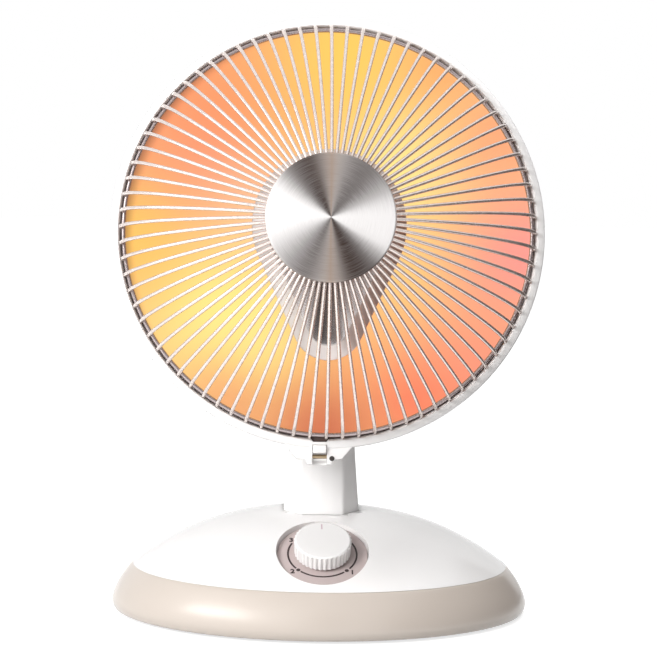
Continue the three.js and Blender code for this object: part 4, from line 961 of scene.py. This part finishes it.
def make_neck():
    for side, node, name in ((-1, "neck_front", "neck_shell_front"),
                             (1, "neck_rear", "neck_shell_rear")):
        rings = []
        for i in range(41):
            share = i / 40
            outer, inner = [sorted((point for point in neck_outline(share, margin)
                                    if point[1] * side > 0.4),
                                   key=lambda point: math.atan2(point[1] * side, point[0]))
                            for margin in (0, -NECK_WALL)]
            wide, thin = [neck_half_sizes(share, margin)[0] for margin in (0, -NECK_WALL)]
            seam = 0.15 * side
            section = [(wide - 0.3, seam), (wide, seam + 0.3 * side), *outer,
                       (-wide, seam + 0.3 * side), (-wide + 0.3, seam), (-thin, seam),
                       *reversed(inner), (thin, seam)]
            rings.append([(x, y, neck_height(share)) for x, y in section])
        shell = lofted(name, rings, BASE)
        if side > 0:
            for i in (1, 2):
                middle = middle_of(f"neck_screw_{i}")
                place = (Matrix.Translation((middle.x, NECK_Y, middle.z))
                         @ Matrix.Rotation(-math.pi / 2, 4, "X") @ METRES)
                cut(shell, rod("recess", 3.1, 5.6, 40, place, 32))
        dress(shell, "gloss_white", "base", "gloss_white", node, smooth=24)


# Head: the bowl with its rim, vents and latch boss, the dish and the lamp's shield

def bowl_radius_height(share, inwards=0):
    reach = RIM_RADIUS - inwards - BOWL_FLAT
    depth = HOUSING_DEPTH + BOWL_EDGE - inwards
    return BOWL_FLAT + reach * share, BOWL_EDGE - depth * max(1 - share ** 2, 0) ** (1 / 2.2)


def make_housing():
    shares = [1 - (1 - i / 40) ** 1.7 for i in range(41)]
    outer = [bowl_radius_height(share) for share in shares]
    inner = [bowl_radius_height(share, HOUSING_WALL) for share in reversed(shares[:-1])]
    profile = [(0, -HOUSING_DEPTH), *outer, (RIM_RADIUS, -1), (RIM_RADIUS - 0.3, -0.3),
               (RIM_RADIUS - 0.9, 0.15), (RIM_INNER + 1.3, 1), (RIM_INNER + 0.8, 1),
               (RIM_INNER + 0.3, 0.7), (RIM_INNER - 0.1, 0), (RIM_INNER - 1, -3.6),
               (128.1, -3.6), (128.1, -8.5), *inner, (0, -HOUSING_DEPTH + HOUSING_WALL)]
    housing = turned("head_bowl", profile, HEAD, 180)
    half = [(7.4, -147), (8.8, -144.2), (14, -143.4), (23, -133)]
    boss = raised("boss", eased([(-x, y) for x, y in reversed(half)] + half,
                                [0, 2, 0.8, 1, 1, 0.8, 2, 0], 4), -13, -0.5, LATCH, 0.5)
    fused(housing, boss)
    slot_outline = eased([(-2.25, -93), (2.25, -93), (2.25, -73), (-2.25, -73)], 2.2, 4)
    for side in (1, -1):
        slot = raised("slot", slot_outline, -62, -16, Matrix.Identity(4))
        slots = set_at("vents", slot, [(0, 0, 0)] * 10, math.radians(4.5 * side),
                       math.radians(18 * side))
        slots.data.transform(HEAD)
        cut(housing, slots)
    notch = raised("notch", [(-7.8, -128.3), (-4.4, -133), (4.4, -133), (7.8, -128.3)], -1.8,
                   3, LATCH)
    lever_slot = raised("lever_slot", [(-4.6, -158), (4.6, -158), (4.6, -134.7),
                                       (-4.6, -134.7)], -6.5, 3, LATCH)
    cut(housing, notch, lever_slot, rod("pin_hole", 1.4, -6.7, 6.7, PIN_AXIS, 32),
        rod("screw_hole", 1.2, -9.8, 3, BOSS_SCREW, 32),
        *[block("pocket", (-4.3, -134.8, -1.8), (4.3, -128.3, -0.2), place)
          for place in TONGUES])
    dress(housing, "gloss_white", "head", "gloss_white", "rear_housing", smooth=30)


def dish_height(radius):
    return DISH_APEX + (DISH_EDGE - DISH_APEX) * (radius / DISH_RADIUS) ** 2


def make_dish():
    radii = [DISH_RADIUS * i / 40 for i in range(41)]
    front = [(radius, dish_height(radius)) for radius in radii]
    back = [(radius, dish_height(radius) - DISH_SHEET) for radius in reversed(radii)]
    low, high = DISH_EDGE, DISH_EDGE + DISH_SHEET
    profile = [*front[:-1], (DISH_RADIUS - 0.2, low + 0.4), (DISH_RADIUS + 0.4, high),
               (DISH_LIP, high), (DISH_LIP, low), (DISH_RADIUS + 0.8, low), *back[1:]]
    dress(turned("lit_dish", profile, HEAD, 160), "glowing_dish", "head", "glowing_dish",
          "reflector")
    # The flange is dark as painted shade in the groove between the hoop and the rim
    flange = turned("dish_flange", [(DISH_LIP, low), (FLANGE_RADIUS, low), (FLANGE_RADIUS, high),
                                    (DISH_LIP, high)], HEAD, 160)
    dress(flange, "painted_shade_steel", "head", "glowing_dish", "reflector")


def drop_outline(inwards):
    """The shield's outline, two round ends and the straight sides between them."""
    steps = 40
    big, small, apart = 48 - inwards, 22 - inwards, 61.8
    lean = math.asin((big - small) / apart)
    outline = []
    for radius, centre, start, end in ((big, 0.3, -lean, math.pi + lean),
                                       (small, -61.5, math.pi + lean, 2 * math.pi - lean)):
        for i in range(steps + 1):
            angle = start + (end - start) * i / steps
            outline.append((radius * math.cos(angle), centre + radius * math.sin(angle)))
    return outline


def make_shield():
    def ring(inwards, height):
        return [(x, y, height) for x, y in drop_outline(inwards)]

    def face_ring(inwards, low, high, share):
        return [(x * share, FACE_MIDDLE + (y - FACE_MIDDLE) * share,
                 high - (high - low) * share ** 2) for x, y in drop_outline(inwards)]

    shares = (0.94, 0.86, 0.74, 0.6, 0.45, 0.3, 0.15)
    outer = [ring(0, 19), ring(0, 20.5), ring(0.15, 20.9), ring(0.6, 21.3), ring(8.6, 25.1),
             ring(9.1, 25.28), ring(9.7, 25.4)]
    outer += [face_ring(9.7, 25.4, 27, share) for share in shares]
    inner = [face_ring(10.2, 24.4, 26, share) for share in reversed(shares)]
    inner += [ring(10.2, 24.4), ring(9.6, 24.25), ring(1.0, 20.3), ring(1, 19)]
    shield = domed_shell("lamp_shield", outer, inner, (0, FACE_MIDDLE, 27), (0, FACE_MIDDLE, 26),
                         HEAD)
    dress(shield, "shield_chrome", "head", "chrome", "shield")
    posts = []
    for x, y in ((36.1, 21.15), (-36.1, 21.15), (0, -77.2)):
        foot = dish_height(math.hypot(x, y)) + 0.7
        posts.append(rod("post", 2.4, foot, 22.2, HEAD @ Matrix.Translation((x, y, 0)), 32, 0.2))
    dress(gathered("shield_posts", posts), "zinc_steel", "head", "zinc_steel",
          *numbered("shield_post", 3))


# Lamp: quartz ring and legs, the ribbon inside, the ceramic ends and their clamp

def lamp_path(end):
    """The middle line of the lamp: up one leg, round the ring and down the other leg."""
    steps = 72
    turn = math.asin(LEG_ASIDE / LAMP_RADIUS)
    leg_top = LAMP_RADIUS * math.cos(turn)
    up = [(-LEG_ASIDE, -end + (end - leg_top) * i / 8) for i in range(8)]
    angles = [turn + (2 * math.pi - 2 * turn) * i / steps for i in range(steps + 1)]
    ring = [(-LAMP_RADIUS * math.sin(angle), -LAMP_RADIUS * math.cos(angle)) for angle in angles]
    down = [(LEG_ASIDE, -leg_top - (end - leg_top) * i / 8) for i in range(1, 9)]
    return [Vector((x, y, LAMP_HEIGHT)) for x, y in (*up, *ring, *down)]


def along_lamp(section, end):
    path = lamp_path(end)
    forward = Vector((0, 0, 1))
    rings = []
    for i, point in enumerate(path):
        ahead = (path[min(i + 1, len(path) - 1)] - path[max(i - 1, 0)]).normalized()
        side = ahead.cross(forward).normalized()
        rings.append([point + side * x + forward * y for x, y in section])
    return rings


def make_lamp():
    tube_end = 66
    outer, inner = [along_lamp(circle(radius, 28), tube_end) for radius in (5, 3.8)]
    tube = lofted("quartz_ring", [*outer, *reversed(inner)], HEAD, looped=True)
    dress(tube, "quartz_glass", "head", "quartz", "quartz_tube")
    section = [(-2.9, -0.3), (2.9, -0.3), (2.9, 0.3), (-2.9, 0.3)]
    ribbon = lofted("carbon_ribbon", along_lamp(section, tube_end - 0.4), HEAD)
    dress(ribbon, "carbon_glow", "head", "carbon_ribbon", "carbon_filament")
    for i, x in enumerate((LEG_ASIDE, -LEG_ASIDE)):
        place = (HEAD @ Matrix.Translation((x, 0, LAMP_HEIGHT))
                 @ Matrix.Rotation(-math.pi / 2, 4, "X"))
        end = turned(f"lamp_end_{i + 1}", eased([(0, -71.8), (6.8, -71.8), (6.8, -60),
                                                 (5.3, -60), (5.3, -66.3), (0, -66.3)],
                                                [0, 0.8, 0.6, 0.3, 0, 0], 3), place, 48)
        dress(end, "lamp_ceramic", "head", "lamp_ceramic", f"lamp_cap_{i + 1}")
    dress(refined("lamp_clamp", "lamp_bracket", 0.5), "zinc_steel", "head", "zinc_steel",
          "lamp_bracket")


# Wire guard with its hoop and inner ring, and the brushed disc

def make_guard():
    wires = circle_of_bars("guard_wires", Count=80, Start_Radius=34.0, End_Radius=130.3,
                           Start_Height=GUARD_RISE, End_Height=1.7, Crown=1.2, Shoulder=0.5,
                           Bar_Radius=1.15, Steps=34, Sides=12)
    wires.data.transform(HEAD)
    hoop = turned("hoop", circle(HOOP_WIRE, 20, HOOP_RADIUS), HEAD, 200)
    ring = turned("inner_ring", eased([(33.3, 50.1), (36.7, 50.1), (36.7, 52.5), (33.3, 52.5)],
                                      0.4, 3), HEAD, 120)
    tongues = [block("tongue", (-4, -134.5, -1.5), (4, -129, -0.5), place, 0.2)
               for place in TONGUES]
    dress(gathered("wire_guard", [wires, ring]), "guard_chrome", "head", "chrome", "guard")
    # The hoop's darker chrome is painted shade
    dress(hoop, "hoop_chrome_painted_shade", "head", "chrome", "guard")
    # The tongues are dark as painted shade in the rim's pockets
    dress(gathered("guard_tongues", tongues), "painted_shade_steel", "head", "chrome", "guard")
    # A thin dark sheet at the bottom of the rim's notch, as painted shade in the notch
    notch_shade_sheet = raised("notch_plate", [(LATCH_X + x, y) for x, y in (
        (-7.2, -128.9), (-4.1, -132.8), (4.1, -132.8), (7.2, -128.9))], -1.78, -1.6, HEAD)
    dress(notch_shade_sheet, "painted_shade_steel", "head", "gloss_white")


def make_badge():
    profile = [(0, 50.1), (6, 50.1), (6, 52.8), (39.0, 52.8), (39.45, 53.2), (39.6, 53.9),
               (39.4, 54.6), (39.0, 55.0), (38.3, 55.15), (0, 55.2)]
    dress(turned("brushed_disc", profile, HEAD, 160), "spun_steel", "head", "spun_steel",
          "guard_badge")
    plate = turned("disc_backplate", eased([(2.1, 48.6), (36, 48.6), (36, 49.8), (2.1, 49.8)],
                                           [0, 0.3, 0.3, 0], 3), HEAD, 96)
    dress(plate, "zinc_steel", "head", "zinc_steel", "badge_backplate")
    screw = cross_screw(1.8, 4.2, 4, 2, turned_down(HEAD @ Matrix.Translation((0, 0, 48.3))))
    screw.name = "disc_screw"
    dress(screw, "zinc_steel", "head", "zinc_steel", "badge_screw")


# Guard latch under the rim

def make_latch():
    lever = block("lever", (-4.2, -142, -0.2), (4.2, -135, 1.6), LATCH, 0.4)
    web = block("web", (-4.2, -143.25, -3.4), (4.2, -140.75, 0.7), LATCH)
    fused(lever, web, rod("barrel", 2.5, -4.2, 4.2, PIN_AXIS, 40))
    cut(lever, rod("bore", 1.4, -8, 8, PIN_AXIS, 32),
        block("window", (-5, -144.8, -3.2), (5, -139.8, 3), LATCH))
    lever.name = "latch_lever"
    dress(lever, "gloss_white", "latch", "gloss_white", "guard_latch")
    dress(rod("hinge_pin", 1.25, -6.4, 6.4, PIN_AXIS, 32, 0.2), "pin_bronze", "head",
          "dark_steel", "latch_pin")
    screw = cross_screw(1.05, 9, 1.6, 1.0, BOSS_SCREW @ Matrix.Translation((0, 0, -0.3)))
    screw.name = "boss_screw"
    dress(screw, "dark_steel", "head", "dark_steel", "latch_screw")


# Rear cap, its screws, the arm and the tilting joint

def make_cap():
    front, back, screws_out = -60.3, -96.3, 33
    profile = eased([(38.2, front), (40, front), (40, back + 4), (36, back), (0, back),
                     (0, back + 1.8), (35.1, back + 1.8), (38.2, back + 4)],
                    [0, 0.3, 3, 3, 0, 0, 2, 2], 5)
    cap = turned("wiring_cap", profile, HEAD, 120)
    places = [(screws_out * math.cos(angle), screws_out * math.sin(angle))
              for angle in map(math.radians, (90, 210, 330))]
    for x, y in places:
        fused(cap, rod("boss", 4.6, back + 0.9, front, HEAD @ Matrix.Translation((x, y, 0)), 40))
    slot = raised("slot", [(-8.3, -80), (8.3, -80), (8.3, -12), (-8.3, -12)], -94, -50, HEAD)
    cut(cap, slot)
    for x, y in places:
        cut(cap, turned("recess", [(0, back - 2), (3.3, back - 2), (3.3, back + 3.8),
                                   (1.8, back + 3.8), (1.8, front + 1), (0, front + 1)],
                        HEAD @ Matrix.Translation((x, y, 0)), 40))
    dress(cap, "gloss_white", "head", "gloss_white", "rear_cap")
    thing = cross_screw(1.5, 35.7, 3, 2, turned_down(METRES))
    screws = set_at("cap_screws", thing,
                    [(x / 1000, y / 1000, (back + 3.5) / 1000) for x, y in places])
    screws.data.transform(HEAD @ METRES.inverted())
    dress(screws, "zinc_steel", "head", "zinc_steel", *numbered("cap_screw", 3))


def make_tilting_joint():
    for name, node, finish, body, slot in (
            ("joint_yoke", "pivot_yoke", "dark_steel", "base", "dark_steel"),
            ("joint_bolt", "tilt_bolt", "zinc_steel", "base", "zinc_steel"),
            ("joint_nut", "tilt_nut", "zinc_steel", "base", "zinc_steel"),
            ("carrying_arm", "head_arm", "dark_steel", "head", "dark_steel")):
        dress(refined(name, node), finish, body, slot, node)


# Cord gland at the back of the base, and the tip-over switch's pin under it

def make_gland():
    profile = eased([(3.2, -11.8), (8, -11.8), (8, -8.8), (5.4, -8.8), (5.4, 0.3), (7.6, 0.3),
                     (7.6, 2.5), (3.2, 2.5)], [0.3, 0.5, 0.5, 0, 0, 0.2, 0.8, 0.5], 4)
    dress(turned("strain_relief", profile, GLAND, 64), "black_plastic", "base",
          "black_plastic", "cord_gland")


def make_plunger():
    middle = middle_of("tip_plunger")
    profile = eased([(0, 0), (1.8, 0), (3, 1.2), (3, 10.3), (4.6, 10.3), (4.6, 11.7), (3, 11.7),
                     (3, 16), (0, 16)], [0, 0.6, 0.6, 0, 0.3, 0.3, 0, 0.3, 0], 3)
    dress(turned("tip_pin", profile, Matrix.Translation((middle.x, middle.y, 0)) @ METRES, 40),
          "black_plastic", "plunger", "black_plastic", "tip_plunger")


# Hidden parts keep their plain solids and get their finish

PLAIN_FINISHES = {
    "black_plastic": ("bottom_plate", "selector_switch", "tip_switch", "tilt_washer_1",
                      "tilt_washer_2", "thermal_cutout"),
    "dark_steel": ("ballast_plate",),
    "lamp_ceramic": ("terminal_block",),
    "zinc_steel": ("neck_post", "post_bolt_1", "post_bolt_2", "neck_screw_1", "neck_screw_2",
                   "arm_screw_1", "arm_screw_2"),
}


def finish_plain_solids():
    for finish, nodes in PLAIN_FINISHES.items():
        for node in nodes:
            mesh_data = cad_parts[node].data
            mesh_data.materials.clear()
            mesh_data.materials.append(FINISHES[finish])


make_skirt()
make_cover()
make_feet()
make_plate_screws()
make_dial()
make_knob()
make_neck()
make_housing()
make_dish()
make_shield()
make_lamp()
make_guard()
make_badge()
make_latch()
make_cap()
make_tilting_joint()
make_gland()
make_plunger()
finish_plain_solids()


# Studio: pale floor, soft lights, white surroundings and the photograph's camera

def seen_directly(tree):
    """One for rays from the camera, from mirror-like surfaces and through glass."""
    rays = add(tree, "ShaderNodeLightPath").outputs
    mirrored = maths(tree, "MAXIMUM", rays["Is Glossy Ray"], rays["Is Transmission Ray"])
    return maths(tree, "MAXIMUM", rays["Is Camera Ray"], mirrored)


def flat_sheet(name, corners):
    """A flat piece of the studio, and the empty node tree of its material."""
    sheet = as_object(name, bpy.data.meshes.new(name))
    sheet.data.from_pydata(corners, [], [(0, 1, 2, 3)])
    finish = bpy.data.materials.new(name)
    finish.use_nodes = True
    finish.node_tree.nodes.clear()
    sheet.data.materials.append(finish)
    return sheet, finish.node_tree


def make_floor():
    floor, tree = flat_sheet("studio_floor", [(-12, -12, 0), (12, -12, 0), (12, 12, 0),
                                              (-12, 12, 0)])
    place = add(tree, "ShaderNodeTexCoord").outputs["Object"]
    away = vector_maths(tree, "LENGTH", place)["Value"]
    glow = ranged(tree, away, 0.35, 1.4, 0.74, 1)
    paper = add(tree, "ShaderNodeBsdfDiffuse", {"Color": (0.5, 0.5, 0.5, 1)})
    lift = add(tree, "ShaderNodeEmission", {
        "Color": (1, 1, 1, 1), "Strength": maths(tree, "MULTIPLY", seen_directly(tree), glow)})
    both = add(tree, "ShaderNodeAddShader", {0: paper.outputs[0], 1: lift.outputs[0]})
    add(tree, "ShaderNodeOutputMaterial", {"Surface": both.outputs[0]})


def make_surroundings():
    world = bpy.data.worlds.new("studio")
    bpy.context.scene.world = world
    world.use_nodes = True
    tree = world.node_tree
    tree.nodes.clear()
    strength = maths(tree, "MULTIPLY_ADD", seen_directly(tree), 0.86, 0.14)
    sky = add(tree, "ShaderNodeBackground", {"Color": (1, 1, 1, 1), "Strength": strength})
    add(tree, "ShaderNodeOutputWorld", {"Surface": sky.outputs[0]})


def mirror_card(name, corners, colour, strength=1):
    """A flat card that only mirror-like surfaces see, as a photographer's reflector card."""
    card, tree = flat_sheet(name, corners)
    face = add(tree, "ShaderNodeEmission", {"Color": colour, "Strength": strength})
    add(tree, "ShaderNodeOutputMaterial", {"Surface": face.outputs[0]})
    card.visible_camera = False
    card.visible_diffuse = False
    card.visible_transmission = False
    card.visible_shadow = False


def soft_light(name, place, target, width, height, watts):
    lamp = bpy.data.lights.new(name, "AREA")
    lamp.shape = "RECTANGLE"
    lamp.size = width
    lamp.size_y = height
    lamp.energy = watts
    holder = as_object(name, lamp)
    holder.visible_glossy = False
    holder.location = place
    holder.rotation_euler = (Vector(target) - Vector(place)).to_track_quat("-Z", "Y").to_euler()


def make_camera():
    lens = bpy.data.cameras.new("photo_camera")
    lens.sensor_fit = "HORIZONTAL"
    lens.sensor_width = 36
    lens.lens = 98.85
    lens.clip_end = 60
    camera = as_object("photo_camera", lens)
    camera.location = (-0.03097, -1.19344, 0.28787)
    yaw, pitch, roll = math.radians(1.615), math.radians(4.574), math.radians(0.996)
    camera.rotation_euler = (Matrix.Rotation(-yaw, 3, "Z")
                             @ Matrix.Rotation(math.pi / 2 - pitch, 3, "X")
                             @ Matrix.Rotation(roll, 3, "Z")).to_euler()
    bpy.context.scene.camera = camera


make_floor()
make_surroundings()
mirror_card("card_right", [(0.7, -1.3, 0.02), (0.7, 0.7, 0.02), (0.7, 0.7, 0.8),
                           (0.7, -1.3, 0.8)], tint(88, 76, 74))
mirror_card("card_low_right", [(0.25, -1.3, 0.004), (0.7, -1.3, 0.004), (0.7, 0.7, 0.004),
                               (0.25, 0.7, 0.004)], tint(78, 68, 64))
mirror_card("card_front", [(-0.08, -1.3, 0.3), (0.2, -1.3, 0.3), (0.2, -1.3, 0.95),
                           (-0.08, -1.3, 0.95)], tint(104, 98, 98))
mirror_card("card_key", [(-1.63, -0.7, 0.64), (-0.93, -1.54, 0.64), (-0.93, -1.54, 1.06),
                         (-1.63, -0.7, 1.06)], (1, 1, 1, 1), 7)
soft_light("key", (-1.28, -1.12, 0.86), (0, -0.05, 0.2), 0.8, 0.46, 28)
soft_light("top", (0.3, -0.2, 1.7), (0, -0.05, 0.1), 1.0, 1.0, 19)
soft_light("fill", (-0.6, -1.6, 0.8), (0, 0, 0.1), 0.9, 0.9, 10)
make_camera()
bpy.context.scene.view_settings.view_transform = "Standard"
